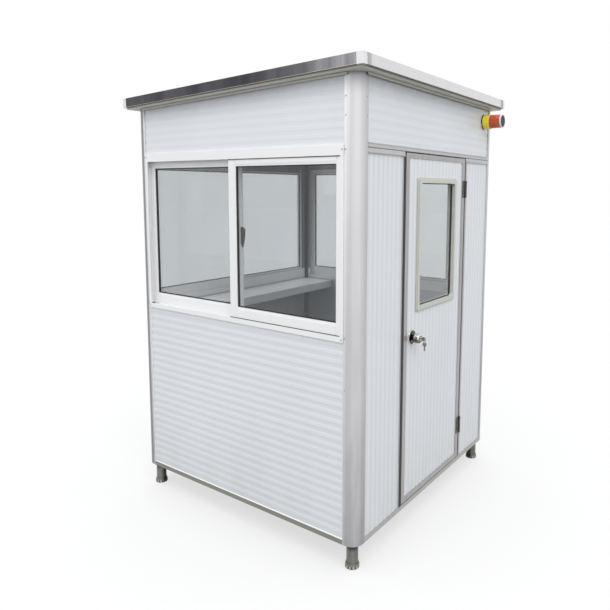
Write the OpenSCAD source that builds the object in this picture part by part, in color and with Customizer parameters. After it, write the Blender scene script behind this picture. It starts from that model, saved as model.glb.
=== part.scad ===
// Guard booth of ribbed sandwich panels between quarter-round corner columns, on four short legs.
// Millimetres. +Z is up, the front window faces -Y and the door wall faces +X.
// The origin lies on the ground below the middle of the whole plan, the beacon included.

/* [Overall] */
// Width of the roof, both ways
roof_size = 1600; // [1400:10:1900]
// Overhang of the roof past the walls
overhang = 50; // [20:5:120]
// Height from the soles of the feet to the high edge of the roof
total_height = 2300; // [2200:10:2600]
// Fall of the roof from the door wall to the wall opposite
roof_fall = 60; // [0:5:80]
// Height of the underside of the walls
wall_bottom = 125; // [80:5:200]

/* [Columns and panels] */
// Outer radius of a corner column
column_radius = 60; // [45:1:80]
// Wall thickness of the extruded columns, rails and jambs
skin = 3; // [2:0.5:4]
// Depth of the grooves that take the panel edges
groove = 14; // [8:1:20]
// Thickness of the sandwich panels
panel_thick = 45; // [30:1:60]
// Distance from one rib of a panel's outer sheet to the next
rib_pitch = 40; // [25:1:80]
// Depth of the valleys between the ribs
rib_depth = 1.5; // [0.5:0.1:3]
// Width of the sloping side of a rib
rib_slope = 6; // [3:1:10]
// Height of the rail along the foot of each wall
rail_height = 24; // [18:1:50]
// Thickness of the floor board
floor_thick = 20; // [15:1:40]
// Clearance between pieces that are seated on one another
seat = 0.3; // [0.1:0.1:0.5]

/* [Legs] */
// Radius of a leg tube
leg_radius = 28; // [20:1:35]
// Wall thickness of a leg tube
leg_wall = 4; // [2:0.5:6]
// Thickness of the plate that closes the top of a leg
leg_plate = 10; // [5:1:15]
// Distance from the wall face to the middle of a leg
leg_inset = 55; // [40:1:90]
// Radius of a foot
foot_radius = 34; // [26:1:50]
// Height of a foot
foot_height = 26; // [12:1:40]
// Height of the straight rim of a foot
foot_rim = 14; // [6:1:30]
// Number of grips round the rim of a foot
foot_grips = 12; // [6:1:20]
// Radius of a grip
grip_radius = 4; // [2:0.5:6]

/* [Windows] */
// Height of the underside of the window frames
window_bottom = 1075; // [900:5:1200]
// Distance from the high edge of the roof down to the window frames
head_drop = 362; // [300:2:500]
// Depth of a window frame through the wall
frame_depth = 58; // [50:1:80]
// How far a window frame stands proud of the column faces
frame_proud = 4; // [0:1:15]
// Height of the frame head that shows
head_lip = 45; // [25:1:60]
// Height of the frame sill that shows
sill_lip = 25; // [15:1:40]
// Width of the frame side that shows
jamb_lip = 18; // [10:1:30]
// Thickness of the fin between the two tracks
track_fin = 2; // [1.5:0.5:4]
// How far the fin stays back from the edge of the lips
fin_drop = 5; // [2:1:10]
// Play on either side of the frame's tongue in the column groove
tongue_play = 4; // [1:0.5:8]
// Height of the rollers under a sash
sash_lift = 10; // [6:1:20]
// Room above a sash for lifting it out
sash_room = 9; // [6:1:20]
// Thickness of a glass pane
glass_thick = 5; // [3:1:8]
// Width of the sash stile that stands in the frame side
side_stile = 38; // [30:1:60]
// Width of the two sash stiles that meet in the middle
meeting_stile = 48; // [30:1:60]
// Height of a sash's top rail
sash_top_rail = 68; // [40:1:90]
// Height of a sash's bottom rail
sash_bottom_rail = 70; // [40:1:90]
// Depth of the glass in a sash or door frame
glass_bite = 9; // [5:1:15]
// Width of the glazing bead round a pane
bead_width = 10; // [6:1:16]
// How far the glazing bead lies below the sash faces
bead_step = 2; // [1:0.5:4]
// Height of a window latch
latch_height = 90; // [60:5:120]
// Width of a window latch
latch_width = 14; // [10:1:20]
// Thickness of a window latch's plate
latch_plate = 5; // [3:1:8]
// How far the lever of a window latch stands off the stile
latch_reach = 17; // [8:1:24]
// Height of the middle of a latch above the middle of the window
latch_rise = 8; // [-60:1:60]

/* [Door] */
// Distance from the high edge of the roof down to the doorway
door_drop = 371; // [330:1:450]
// Clear width of the doorway between the stops
clear_width = 630; // [550:5:800]
// How far the leaf laps over the stop beside its latch edge
latch_lap = 23; // [15:1:40]
// How far the leaf laps over the stop beside its hinge edge
hinge_lap = 27; // [15:1:40]
// Thickness of the door leaf over its edge frame
leaf_thick = 38; // [30:1:45]
// Gap above and below the leaf
leaf_gap = 5; // [5:0.5:10]
// Gap beside the latch edge of the leaf
latch_gap = 14; // [6:1:20]
// Gap beside the hinge edge of the leaf
hinge_gap = 13; // [8:1:20]
// Width of the latch stile of the leaf
latch_stile = 32; // [25:1:60]
// Width of the hinge stile of the leaf
hinge_stile = 32; // [25:1:60]
// Height of the top rail of the leaf
leaf_top_rail = 24; // [20:1:60]
// Height of the bottom rail of the leaf
leaf_bottom_rail = 28; // [20:1:60]
// Wall thickness of the edge frame of the leaf
edge_skin = 2; // [1.5:0.5:3]
// Thickness of a door stop
stop_thick = 7; // [4:1:10]
// Height of the transom that shows
transom_height = 22; // [18:1:60]
// Height of the transom strip over the fixed panels
transom_strip = 24; // [18:1:60]
// Width of the door window over its frame
lite_width = 452; // [300:2:500]
// Height of the underside of the door window
lite_bottom = 1130; // [1050:5:1300]
// Distance from the top of the leaf down to the door window
lite_drop = 115; // [60:1:250]
// Distance of the middle of the door window from the middle of the wall
lite_offset = 8; // [-40:1:40]
// Width of the face of the door window frame
lite_face = 27; // [22:1:60]
// Outer corner radius of the door window frame
lite_radius = 13; // [11:1:60]
// Corner radius of the opening in the door window frame
lite_inner_radius = 17; // [5:1:30]
// How far the door window frame stands off the leaf
lite_proud = 8; // [4:1:15]
// Height of the step round the outside of the door window frame
lite_step = 3; // [1:0.5:5]
// Width of that step
lite_ledge = 9; // [4:1:14]
// Play of the door window frame in the hole of the leaf
lite_play = 2; // [1:0.5:4]

/* [Hinges and knob] */
// Radius of a hinge pin
pin_radius = 3; // [2:0.5:5]
// Radius of a hinge knuckle
knuckle_radius = 6; // [5:0.5:9]
// Gap between two knuckles
knuckle_gap = 0.5; // [0.3:0.1:1]
// Running clearance of pins and spindle
running = 0.05; // [0.02:0.01:0.1]
// Height of a hinge
hinge_height = 95; // [70:5:130]
// Height of the lower hinge's middle above the foot of the leaf
hinge_rise = 196; // [120:2:300]
// Distance of the upper hinge's middle from the top of the leaf
hinge_drop = 172; // [120:2:300]
// Thickness of a hinge leaf
hinge_plate = 2.5; // [2:0.5:4]
// Width of the hinge leaf on the jamb
jamb_flap = 15; // [10:1:17]
// Width of the hinge leaf on the door
leaf_flap = 26; // [15:1:30]
// Height of the middle of the knob
knob_height = 1009; // [900:1:1060]
// Distance from the latch edge of the leaf to the middle of the knob
backset = 84; // [60:1:90]
// Radius of the knob head
knob_radius = 25; // [20:1:32]
// How far the knob reaches out from the leaf
knob_reach = 50; // [40:1:80]
// Radius of the knob's neck
neck_radius = 13; // [10:1:16]
// Length of the knob's neck
neck_length = 8; // [6:1:30]
// Rounding of the knob head
knob_round = 9; // [4:1:12]
// Radius of the knob spindle
spindle_radius = 8; // [5:0.5:10]
// Radius of a rosette
rosette_radius = 38; // [30:1:45]
// Thickness of a rosette
rosette_thick = 8; // [5:0.5:12]
// Radius of the lock bore in the leaf
lock_radius = 24; // [18:1:28]
// Height of the latch bolt's plate
bolt_plate = 56; // [40:2:80]
// Width of the latch bolt's plate
bolt_plate_width = 22; // [16:1:26]
// Height and width of the latch bolt
bolt_size = 15; // [10:1:20]
// How far the latch bolt stands out of the leaf
bolt_reach = 8; // [4:1:9]

/* [Keys] */
// Radius of a key's bow
key_bow = 11; // [8:0.5:14]
// Thickness of a key
key_thick = 2.2; // [1.5:0.1:3]
// Width of a key's blade
key_width = 7; // [5:0.5:9]
// Blade of the key in the knob that shows
key_shank = 5; // [3:1:12]
// Blade of the key that hangs
key_blade = 22; // [15:1:35]
// Radius of the hole in a key's bow
key_hole = 2.6; // [2.2:0.1:4]
// Radius of the key ring
ring_radius = 9; // [7:0.5:14]
// Radius of the key ring's wire
ring_wire = 0.9; // [0.6:0.1:1.2]

/* [Roof] */
// Height of the fascia
fascia_height = 48; // [30:1:80]
// How far the soffit board hangs below the fascia
soffit_drop = 13; // [6:1:25]
// How far the soffit board is set in from the edge of the roof
soffit_inset = 16; // [12:1:24]
// Thickness of the fascia sheet
fascia_skin = 2; // [1:0.5:3]
// Width of the fascia's turned flanges
fascia_flange = 30; // [15:1:40]
// Length of a corner cap along each edge
cap_length = 32; // [20:1:60]
// Wall thickness of a corner cap
cap_skin = 3; // [2:0.5:5]
// Radius of a corner cap's upright edge
cap_radius = 7; // [2:1:12]

/* [Desk and beacon] */
// Depth of the desk from the wall
desk_depth = 250; // [200:10:450]
// Height of the desk top
desk_height = 1070; // [700:5:1075]
// Thickness of the desk board
desk_thick = 18; // [12:1:30]
// Height of the desk's front edge
desk_apron = 50; // [30:1:80]
// Distance from the high edge of the roof down to the beacon's middle
beacon_drop = 145; // [120:5:250]
// Distance of the beacon's middle from the edge of the column
beacon_inset = 66; // [50:2:200]
// Radius of the beacon's gasket
beacon_radius = 43; // [35:1:60]
// Thickness of the beacon's gasket
gasket_thick = 6; // [3:1:10]
// Length of the beacon's base ring
beacon_base_length = 38; // [20:1:60]
// Length of the beacon's lens
beacon_lens_length = 66; // [40:1:90]
// Thickness of the beacon's end cap
beacon_cap_length = 8; // [5:1:14]
// Difference in radius from one piece of the beacon to the next
beacon_setback = 2; // [2:1:6]
// Number of rings round the lens
lens_rings = 8; // [4:1:14]
// Depth of the valleys between the rings
ring_depth = 1; // [0.4:0.1:2]

/* [Hidden] */
$fn = 64;
eps = 1;
base_size = roof_size - 2 * overhang;
half = base_size / 2;
wall_depth = panel_thick + 2 * seat + 2 * skin;
panel_face = half - skin - seat;
panel_back = panel_face - panel_thick;
inner_face = half - wall_depth;
column_edge = half - column_radius;
tip = column_edge - groove;
panel_half = column_edge - seat;
rail_half = tip - seat;
rail_top = wall_bottom + rail_height;
panel_foot = wall_bottom + skin + seat;
roof_pitch = asin(roof_fall / roof_size);
slab = fascia_height - fascia_skin - seat;
soffit = slab + soffit_drop;
window_top = total_height - head_drop;
frame_out = half + frame_proud;
sash_thick = (frame_depth - 2 * skin - track_fin) / 2 - 2 * seat;
sash_middle = sash_thick / 2;
glass_slot = glass_thick / 2 + seat;
outer_track = skin + seat;
fin_at = skin + sash_thick + 2 * seat;
inner_track = fin_at + track_fin + seat;
sash_low = window_bottom + skin + sash_lift;
sash_high = window_top - skin - sash_room;
sash_end = rail_half - skin - seat;
sash_width = sash_end + meeting_stile / 2;
latch_middle = (window_bottom + window_top) / 2 + latch_rise;
door_top = total_height - door_drop;
leaf_low = rail_top + leaf_gap;
leaf_high = door_top - leaf_gap;
latch_edge = clear_width / 2 + latch_lap;
hinge_edge = clear_width / 2 + hinge_lap;
leaf_back = half - leaf_thick;
leaf_panel_thick = leaf_thick - 2 * edge_skin - 2 * seat;
leaf_panel_face = half - edge_skin - seat;
leaf_panel_back = leaf_panel_face - leaf_panel_thick;
leaf_middle = half - leaf_thick / 2;
latch_jamb_edge = -latch_edge - latch_gap;
hinge_jamb_edge = hinge_edge + hinge_gap;
hinge_x = half + knuckle_radius;
hinge_y = hinge_edge + hinge_gap / 2;
hinge_low = leaf_low + hinge_rise;
hinge_high = leaf_high - hinge_drop;
knob_y = -latch_edge + backset;
lite_height = leaf_high - lite_drop - lite_bottom;
lite_middle = lite_bottom + lite_height / 2;
lite_open_y = lite_width - 2 * lite_face;
lite_open_z = lite_height - 2 * lite_face;
lite_hole_y = lite_open_y + 2 * glass_bite + 2 * lite_play;
lite_hole_z = lite_open_z + 2 * glass_bite + 2 * lite_play;
beacon_offset = tip - beacon_inset;
beacon_height = total_height - beacon_drop;
base_at = gasket_thick + seat;
lens_at = base_at + beacon_base_length + seat;
cap_at = lens_at + beacon_lens_length + seat;
base_radius = beacon_radius - beacon_setback / 2;
lens_radius = base_radius - beacon_setback;
beacon_end = panel_face + seat + cap_at + beacon_cap_length;
plan_middle = (beacon_end - roof_size / 2) / 2;

// Places and turns

// Sets a piece about the middle of the whole plan.
module at_origin() {
    translate([-plan_middle, 0, 0])
        children();
}

// The roof's own frame: x runs from the high edge back along the slope, z up from the top.
module on_roof() {
    translate([roof_size / 2, 0, total_height])
        rotate([0, -roof_pitch, 0])
            children();
}

// Everything below the soffit, less the seat clearance.
module under_soffit() {
    on_roof()
        translate([-2 * roof_size, -roof_size, -soffit - seat - total_height])
            cube([3 * roof_size, 2 * roof_size, total_height]);
}

// Turns of a wall that is built at the front.
module to_left() {
    rotate([0, 0, -90])
        children();
}

module to_rear() {
    rotate([0, 0, 180])
        children();
}

module to_door() {
    rotate([0, 0, 90])
        children();
}

// Runs a section that is drawn in Y and Z along X.
module along_x(x0, x1) {
    translate([x0, 0, 0])
        rotate([90, 0, 90])
            linear_extrude(height = x1 - x0)
                children();
}

// Runs a section that is drawn in X and Y up from one height to another.
module upright(z0, z1) {
    translate([0, 0, z0])
        linear_extrude(height = z1 - z0)
            children();
}

// A block from one corner to the other.
module block(low, high) {
    translate(low)
        cube(high - low);
}

// Sections

// A channel that opens upward: its base is wide by depth and its lips are tall.
module channel(wide, tall, lip, base) {
    polygon([
        [0, 0], [wide, 0], [wide, tall], [wide - lip, tall],
        [wide - lip, base], [lip, base], [lip, tall], [0, tall]
    ]);
}

// A rectangle with round corners about its middle.
module rounded_rect(wide, tall, radius) {
    square([wide - 2 * radius, tall], center = true);
    square([wide, tall - 2 * radius], center = true);
    for (sx = [-1, 1], sy = [-1, 1])
        translate([sx * (wide / 2 - radius), sy * (tall / 2 - radius)])
            circle(r = radius);
}

// A panel from its ribbed outer sheet at u = 0 inward, with the ribs set out along v.
module ribbed_board(thick, length) {
    count = floor(length / rib_pitch);
    start = (length - count * rib_pitch) / 2;
    flat = rib_pitch / 2 - rib_slope;
    rib = [
        [0, flat / 2],
        [rib_depth, flat / 2 + rib_slope],
        [rib_depth, flat * 3 / 2 + rib_slope],
        [0, flat * 3 / 2 + 2 * rib_slope]
    ];
    polygon(concat(
        [[thick, 0], [0, 0]],
        [for (i = [0 : count - 1], p = rib) [p[0], p[1] + start + i * rib_pitch]],
        [[0, length], [thick, length]]
    ));
}

// Legs and floor

// A leg turned about its own axis, with grips round its foot.
module leg() {
    top = wall_bottom - seat;
    difference() {
        rotate_extrude()
            polygon([
                [0, 0], [foot_radius, 0], [foot_radius, foot_rim], [leg_radius + leg_wall / 2, foot_height],
                [leg_radius, foot_height], [leg_radius, top], [0, top]
            ]);
        translate([0, 0, foot_height])
            cylinder(r = leg_radius - leg_wall, h = top - leg_plate - foot_height);
        for (i = [0 : foot_grips - 1])
            rotate([0, 0, i * 360 / foot_grips])
                translate([foot_radius + grip_radius / 2, 0, -eps])
                    cylinder(r = grip_radius, h = foot_rim + eps, $fn = 16);
    }
}

module legs() {
    at_origin()
        color([0.42, 0.42, 0.38])
            for (sx = [-1, 1], sy = [-1, 1])
                translate([sx * (half - leg_inset), sy * (half - leg_inset), 0])
                    leg();
}

// Clears a board's corner from the two column grooves that it meets.
module corner_cut(reach, thick) {
    cut = reach - tip + seat;
    translate([-cut, -cut, -eps])
        cube([2 * cut, 2 * cut, thick + 2 * eps]);
}

module floor_panel() {
    reach = inner_face - seat;
    at_origin()
        color([0.55, 0.55, 0.55])
            difference() {
                block([-reach, -reach, rail_top - floor_thick], [reach, reach, rail_top]);
                for (sx = [-1, 1], sy = [-1, 1])
                    translate([sx * reach, sy * reach, rail_top - floor_thick])
                        corner_cut(reach, floor_thick);
            }
}

// Rails and columns

module front_rail() {
    translate([0, -half, wall_bottom])
        along_x(-rail_half, rail_half)
            channel(wall_depth, rail_height, skin, skin);
}

// The door wall's rail is closed on top between the jambs, as the threshold.
module door_rail() {
    to_door() {
        front_rail();
        translate([0, -half, rail_top - skin])
            along_x(latch_jamb_edge, hinge_jamb_edge)
                square([wall_depth, skin]);
    }
}

module bottom_rails() {
    at_origin()
        color([0.55, 0.55, 0.5]) {
            front_rail();
            to_left()
                front_rail();
            to_rear()
                front_rail();
            door_rail();
        }
}

// A quarter disc from the middle of a column's round.
module quarter_disc(radius, inset) {
    intersection() {
        circle(r = radius);
        translate([inset, inset])
            square([radius, radius]);
    }
}

// Section of the column at the +X +Y corner: a quarter tube and a groove for each wall.
module column_section() {
    difference() {
        union() {
            translate([column_edge, column_edge])
                quarter_disc(column_radius, 0);
            translate([tip, inner_face])
                square([groove, wall_depth]);
            translate([inner_face, tip])
                square([wall_depth, groove]);
        }
        translate([column_edge, column_edge])
            quarter_disc(column_radius - skin, skin);
        translate([tip - eps, inner_face + skin])
            square([groove + eps, wall_depth - 2 * skin]);
        translate([inner_face + skin, tip - eps])
            square([wall_depth - 2 * skin, groove + eps]);
    }
}

module corner_columns() {
    at_origin()
        color([0.78, 0.78, 0.8])
            for (turn = [0, 90, 180, 270])
                intersection() {
                    rotate([0, 0, turn])
                        upright(wall_bottom, total_height)
                            column_section();
                    under_soffit();
                }
}

// Wall panels, with level ribs on the window walls and upright ribs beside the door

module level_board(z0, z1) {
    translate([0, -panel_face, z0])
        along_x(-panel_half, panel_half)
            ribbed_board(panel_thick, z1 - z0);
}

module lower_board() {
    level_board(panel_foot, window_bottom - seat);
}

module upper_board() {
    level_board(window_top + seat, total_height);
}

module upright_board(face, thick, y0, y1, z0, z1) {
    translate([face, y0, 0])
        mirror([1, 0, 0])
            upright(z0, z1)
                ribbed_board(thick, y1 - y0);
}

module front_lower_panel() {
    at_origin()
        color([0.85, 0.87, 0.9])
            lower_board();
}

module left_lower_panel() {
    at_origin()
        color([0.85, 0.87, 0.9])
            to_left()
                lower_board();
}

module rear_lower_panel() {
    at_origin()
        color([0.85, 0.87, 0.9])
            to_rear()
                lower_board();
}

module front_upper_panel() {
    at_origin()
        color([0.85, 0.87, 0.9])
            intersection() {
                upper_board();
                under_soffit();
            }
}

module left_upper_panel() {
    at_origin()
        color([0.85, 0.87, 0.9])
            intersection() {
                to_left()
                    upper_board();
                under_soffit();
            }
}

module rear_upper_panel() {
    at_origin()
        color([0.85, 0.87, 0.9])
            intersection() {
                to_rear()
                    upper_board();
                under_soffit();
            }
}

module door_side_upper_panel() {
    at_origin()
        color([0.85, 0.87, 0.9])
            intersection() {
                to_door()
                    level_board(door_top + 2 * skin + seat, total_height);
                under_soffit();
            }
}

module latch_side_panel() {
    at_origin()
        color([0.85, 0.87, 0.9])
            upright_board(panel_face, panel_thick, -panel_half, latch_jamb_edge - skin - seat,
                panel_foot, door_top - seat);
}

module hinge_side_panel() {
    at_origin()
        color([0.85, 0.87, 0.9])
            upright_board(panel_face, panel_thick, hinge_jamb_edge + skin + seat, panel_half,
                panel_foot, door_top - seat);
}

// Sliding windows, built at the front and turned to the other walls

// Section of the head and sill: web, two lips and the fin between the tracks.
module track_section(lip) {
    polygon([
        [0, 0], [frame_depth, 0], [frame_depth, lip], [frame_depth - skin, lip],
        [frame_depth - skin, skin], [fin_at + track_fin, skin], [fin_at + track_fin, lip - fin_drop],
        [fin_at, lip - fin_drop], [fin_at, skin], [skin, skin], [skin, lip], [0, lip]
    ]);
}

// Section of the frame side: the same tracks, and behind its web a tongue for the column groove.
module side_section() {
    tongue_tip = -groove + seat;
    tongue_low = frame_proud + skin + tongue_play;
    tongue_high = frame_proud + wall_depth - skin - tongue_play;
    polygon([
        [tongue_tip, tongue_low], [0, tongue_low], [0, 0], [jamb_lip, 0], [jamb_lip, skin],
        [skin, skin], [skin, fin_at], [jamb_lip, fin_at], [jamb_lip, fin_at + track_fin],
        [skin, fin_at + track_fin], [skin, frame_depth - skin], [jamb_lip, frame_depth - skin],
        [jamb_lip, frame_depth], [0, frame_depth], [0, tongue_high], [tongue_tip, tongue_high]
    ]);
}

module frame_side() {
    translate([-rail_half, 0, 0])
        upright(window_bottom + sill_lip + seat, window_top - head_lip - seat)
            side_section();
}

module window_frame() {
    translate([0, -frame_out, 0]) {
        translate([0, 0, window_bottom])
            along_x(-rail_half, rail_half)
                track_section(sill_lip);
        translate([0, 0, window_top])
            mirror([0, 0, 1])
                along_x(-rail_half, rail_half)
                    track_section(head_lip);
        frame_side();
        mirror([1, 0, 0])
            frame_side();
    }
}

// Points of a sash section, from its outer edge at u = 0 to the stepped bead that holds the glass.
function sash_points(wide) = [
    [0, 0], [wide - bead_width, 0], [wide - bead_width, bead_step], [wide, bead_step],
    [wide, sash_middle - glass_slot], [wide - glass_bite - seat, sash_middle - glass_slot],
    [wide - glass_bite - seat, sash_middle + glass_slot], [wide, sash_middle + glass_slot],
    [wide, sash_thick - bead_step], [wide - bead_width, sash_thick - bead_step],
    [wide - bead_width, sash_thick], [0, sash_thick]
];

module sash_rail(x0, x1, tall) {
    along_x(x0, x1)
        polygon([for (p = sash_points(tall)) [p[1], p[0]]]);
}

// A sash from x = 0 to its width: two stiles with two rails between them.
module sash(left_stile, right_stile) {
    x0 = left_stile + seat;
    x1 = sash_width - right_stile - seat;
    upright(sash_low, sash_high)
        polygon(sash_points(left_stile));
    translate([sash_width, 0, 0])
        mirror([1, 0, 0])
            upright(sash_low, sash_high)
                polygon(sash_points(right_stile));
    translate([0, 0, sash_low])
        sash_rail(x0, x1, sash_bottom_rail);
    translate([0, 0, sash_high])
        mirror([0, 0, 1])
            sash_rail(x0, x1, sash_top_rail);
}

module sash_pane(left_stile, right_stile) {
    block([left_stile - glass_bite, sash_middle - glass_thick / 2,
            sash_low + sash_bottom_rail - glass_bite],
        [sash_width - right_stile + glass_bite, sash_middle + glass_thick / 2,
            sash_high - sash_top_rail + glass_bite]);
}

module outer_place() {
    translate([-meeting_stile / 2, -frame_out + outer_track, 0])
        children();
}

module inner_place() {
    translate([-sash_end, -frame_out + inner_track, 0])
        children();
}

module outer_sash() {
    outer_place()
        sash(meeting_stile, side_stile);
}

module inner_sash() {
    inner_place()
        sash(side_stile, meeting_stile);
}

module panes() {
    outer_place()
        sash_pane(meeting_stile, side_stile);
    inner_place()
        sash_pane(side_stile, meeting_stile);
}

// A latch on the edge of the inner sash: a plate with round ends, and a lever that points up.
module latch() {
    lever = latch_width / 2;
    translate([meeting_stile / 2 + seat, -frame_out + inner_track + sash_middle, latch_middle]) {
        along_x(0, latch_plate)
            rounded_rect(latch_width, latch_height, latch_width / 2 - eps);
        along_x(0, latch_reach) {
            circle(r = lever);
            translate([-lever / 2, 0])
                square([lever, latch_height / 2 - lever]);
            translate([0, latch_height / 2 - lever])
                circle(r = lever / 2);
        }
    }
}

module front_window_frame() {
    at_origin()
        color([0.92, 0.93, 0.93])
            window_frame();
}

module front_outer_sash() {
    at_origin()
        color([0.92, 0.93, 0.93])
            outer_sash();
}

module front_inner_sash() {
    at_origin()
        color([0.92, 0.93, 0.93])
            inner_sash();
}

module left_window_frame() {
    at_origin()
        color([0.92, 0.93, 0.93])
            to_left()
                window_frame();
}

module left_outer_sash() {
    at_origin()
        color([0.92, 0.93, 0.93])
            to_left()
                outer_sash();
}

module left_inner_sash() {
    at_origin()
        color([0.92, 0.93, 0.93])
            to_left()
                inner_sash();
}

module rear_window_frame() {
    at_origin()
        color([0.92, 0.93, 0.93])
            to_rear()
                window_frame();
}

module rear_outer_sash() {
    at_origin()
        color([0.92, 0.93, 0.93])
            to_rear()
                outer_sash();
}

module rear_inner_sash() {
    at_origin()
        color([0.92, 0.93, 0.93])
            to_rear()
                inner_sash();
}

module window_glass() {
    at_origin()
        color([0.75, 0.8, 0.82, 0.35]) {
            panes();
            to_left()
                panes();
            to_rear()
                panes();
        }
}

module window_latches() {
    at_origin()
        color([0.2, 0.2, 0.2]) {
            latch();
            to_left()
                latch();
            to_rear()
                latch();
        }
}

// Doorway

// The transom takes the upper panel in its channel and, beside the door, the fixed panels below.
module transom_rail() {
    at_origin()
        color([0.68, 0.69, 0.7])
            to_door()
                translate([0, -half, door_top]) {
                    along_x(-rail_half, rail_half)
                        channel(wall_depth, transom_height, skin, 2 * skin);
                    for (span = [[-rail_half, latch_jamb_edge], [hinge_jamb_edge, rail_half]])
                        along_x(span[0], span[1])
                            for (u = [0, wall_depth - skin])
                                translate([u, -transom_strip])
                                    square([skin, transom_strip + eps]);
                }
}

// Section of an upright beside the leaf at y = 0: a groove for the fixed panel and a stop.
module jamb_section(stop_reach) {
    polygon([
        [half, -skin - groove], [half, 0], [inner_face + stop_thick, 0],
        [inner_face + stop_thick, stop_reach], [inner_face, stop_reach], [inner_face, -skin - groove],
        [inner_face + skin, -skin - groove], [inner_face + skin, -skin], [half - skin, -skin],
        [half - skin, -skin - groove]
    ]);
}

module jamb(stop_reach) {
    upright(rail_top + seat, door_top - transom_strip - seat)
        jamb_section(stop_reach);
}

module latch_jamb() {
    at_origin()
        color([0.84, 0.85, 0.86])
            translate([0, latch_jamb_edge, 0])
                jamb(-clear_width / 2 - latch_jamb_edge);
}

module hinge_jamb() {
    at_origin()
        color([0.68, 0.69, 0.7])
            translate([0, hinge_jamb_edge, 0])
                mirror([0, 1, 0])
                    jamb(hinge_jamb_edge - clear_width / 2);
}

// Hinges

module on_hinges() {
    for (z = [hinge_low, hinge_high])
        translate([hinge_x, hinge_y, z - hinge_height / 2])
            children();
}

// A hinge plate on the wall face beside the pin, from one y to another.
module hinge_flap(y0, y1, z0, z1) {
    face = -knuckle_radius + seat;
    block([face, y0, z0], [face + hinge_plate, y1, z1]);
}

// The fixed half of a hinge: plate, end knuckles and pin.
module fixed_hinge() {
    third = hinge_height / 3;
    flap_end = hinge_gap / 2 + jamb_flap;
    for (span = [[0, third - knuckle_gap], [2 * third, hinge_height]]) {
        translate([0, 0, span[0]])
            cylinder(r = knuckle_radius, h = span[1] - span[0]);
        hinge_flap(0, flap_end, span[0], span[1]);
    }
    hinge_flap(hinge_gap / 2, flap_end, 0, hinge_height);
    cylinder(r = pin_radius, h = hinge_height);
}

// The moving half of a hinge: plate and middle knuckle, bored for the pin.
module moving_hinge() {
    third = hinge_height / 3;
    flap_end = -hinge_gap / 2 - leaf_flap;
    difference() {
        union() {
            translate([0, 0, third])
                cylinder(r = knuckle_radius, h = third - knuckle_gap);
            hinge_flap(flap_end, 0, third, 2 * third - knuckle_gap);
            hinge_flap(flap_end, -hinge_gap / 2, 0, hinge_height);
        }
        cylinder(r = pin_radius + running, h = hinge_height);
    }
}

module jamb_hinge_leaves() {
    at_origin()
        color([0.6, 0.6, 0.58])
            on_hinges()
                fixed_hinge();
}

module door_hinge_leaves() {
    at_origin()
        color([0.6, 0.6, 0.58])
            on_hinges()
                moving_hinge();
}

// Door leaf

module door_panel() {
    bore = leaf_panel_thick + 2 * eps;
    at_origin()
        color([0.85, 0.87, 0.9])
            difference() {
                upright_board(leaf_panel_face, leaf_panel_thick, -latch_edge + edge_skin + seat,
                    hinge_edge - edge_skin - seat, leaf_low + edge_skin + seat,
                    leaf_high - edge_skin - seat);
                translate([leaf_panel_back - eps, lite_offset - lite_hole_y / 2,
                        lite_middle - lite_hole_z / 2])
                    cube([bore, lite_hole_y, lite_hole_z]);
                translate([leaf_panel_back - eps, knob_y, knob_height])
                    rotate([0, 90, 0])
                        cylinder(r = lock_radius, h = bore);
            }
}

// The leaf's edge frame: channels round the panel, upright ones at the sides.
module door_edge_frame() {
    rail_low = -latch_edge + latch_stile + seat;
    rail_high = hinge_edge - hinge_stile - seat;
    at_origin()
        color([0.7, 0.69, 0.68]) {
            translate([leaf_back, -latch_edge, 0])
                upright(leaf_low, leaf_high)
                    channel(leaf_thick, latch_stile, edge_skin, edge_skin);
            translate([leaf_back, hinge_edge, 0])
                mirror([0, 1, 0])
                    upright(leaf_low, leaf_high)
                        channel(leaf_thick, hinge_stile, edge_skin, edge_skin);
            to_door() {
                translate([0, -half, leaf_low])
                    along_x(rail_low, rail_high)
                        channel(leaf_thick, leaf_bottom_rail, edge_skin, edge_skin);
                translate([0, -half, leaf_high])
                    mirror([0, 0, 1])
                        along_x(rail_low, rail_high)
                            channel(leaf_thick, leaf_top_rail, edge_skin, edge_skin);
            }
        }
}

// One half of the door window's frame: a stepped face on the leaf and a collar in its hole.
module lite_half() {
    depth = leaf_panel_thick / 2 - glass_thick / 2 - seat;
    difference() {
        union() {
            along_x(seat, lite_step)
                rounded_rect(lite_width, lite_height, lite_radius);
            along_x(seat, lite_proud)
                rounded_rect(lite_width - 2 * lite_ledge, lite_height - 2 * lite_ledge,
                    lite_radius - lite_ledge);
            along_x(-depth, seat + eps)
                square([lite_hole_y - 2 * seat, lite_hole_z - 2 * seat], center = true);
        }
        along_x(-depth - eps, lite_proud + eps)
            rounded_rect(lite_open_y, lite_open_z, lite_inner_radius);
    }
}

module door_window_frame() {
    at_origin()
        color([0.86, 0.86, 0.83]) {
            translate([leaf_panel_face, lite_offset, lite_middle])
                lite_half();
            translate([leaf_panel_back, lite_offset, lite_middle])
                mirror([1, 0, 0])
                    lite_half();
        }
}

module door_window_glass() {
    at_origin()
        color([0.75, 0.8, 0.82, 0.35])
            translate([leaf_middle, lite_offset, lite_middle])
                cube([glass_thick, lite_hole_y - 2 * seat, lite_hole_z - 2 * seat], center = true);
}

// A domed rosette with a collar in the leaf and a bore for the spindle, turned about its axis.
module rosette() {
    bore = spindle_radius + running;
    collar = leaf_panel_thick / 2 - eps;
    rim = rosette_thick / 3;
    rotate([0, 90, 0])
        rotate_extrude()
            polygon(concat(
                [
                    [bore, -collar], [lock_radius - seat, -collar], [lock_radius - seat, seat],
                    [rosette_radius, seat]
                ],
                [for (a = [0 : 15 : 75])
                    [neck_radius + (rosette_radius - neck_radius) * cos(a),
                        rim + (rosette_thick - rim) * sin(a)]],
                [[neck_radius, rosette_thick], [bore, rosette_thick]]
            ));
}

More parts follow.
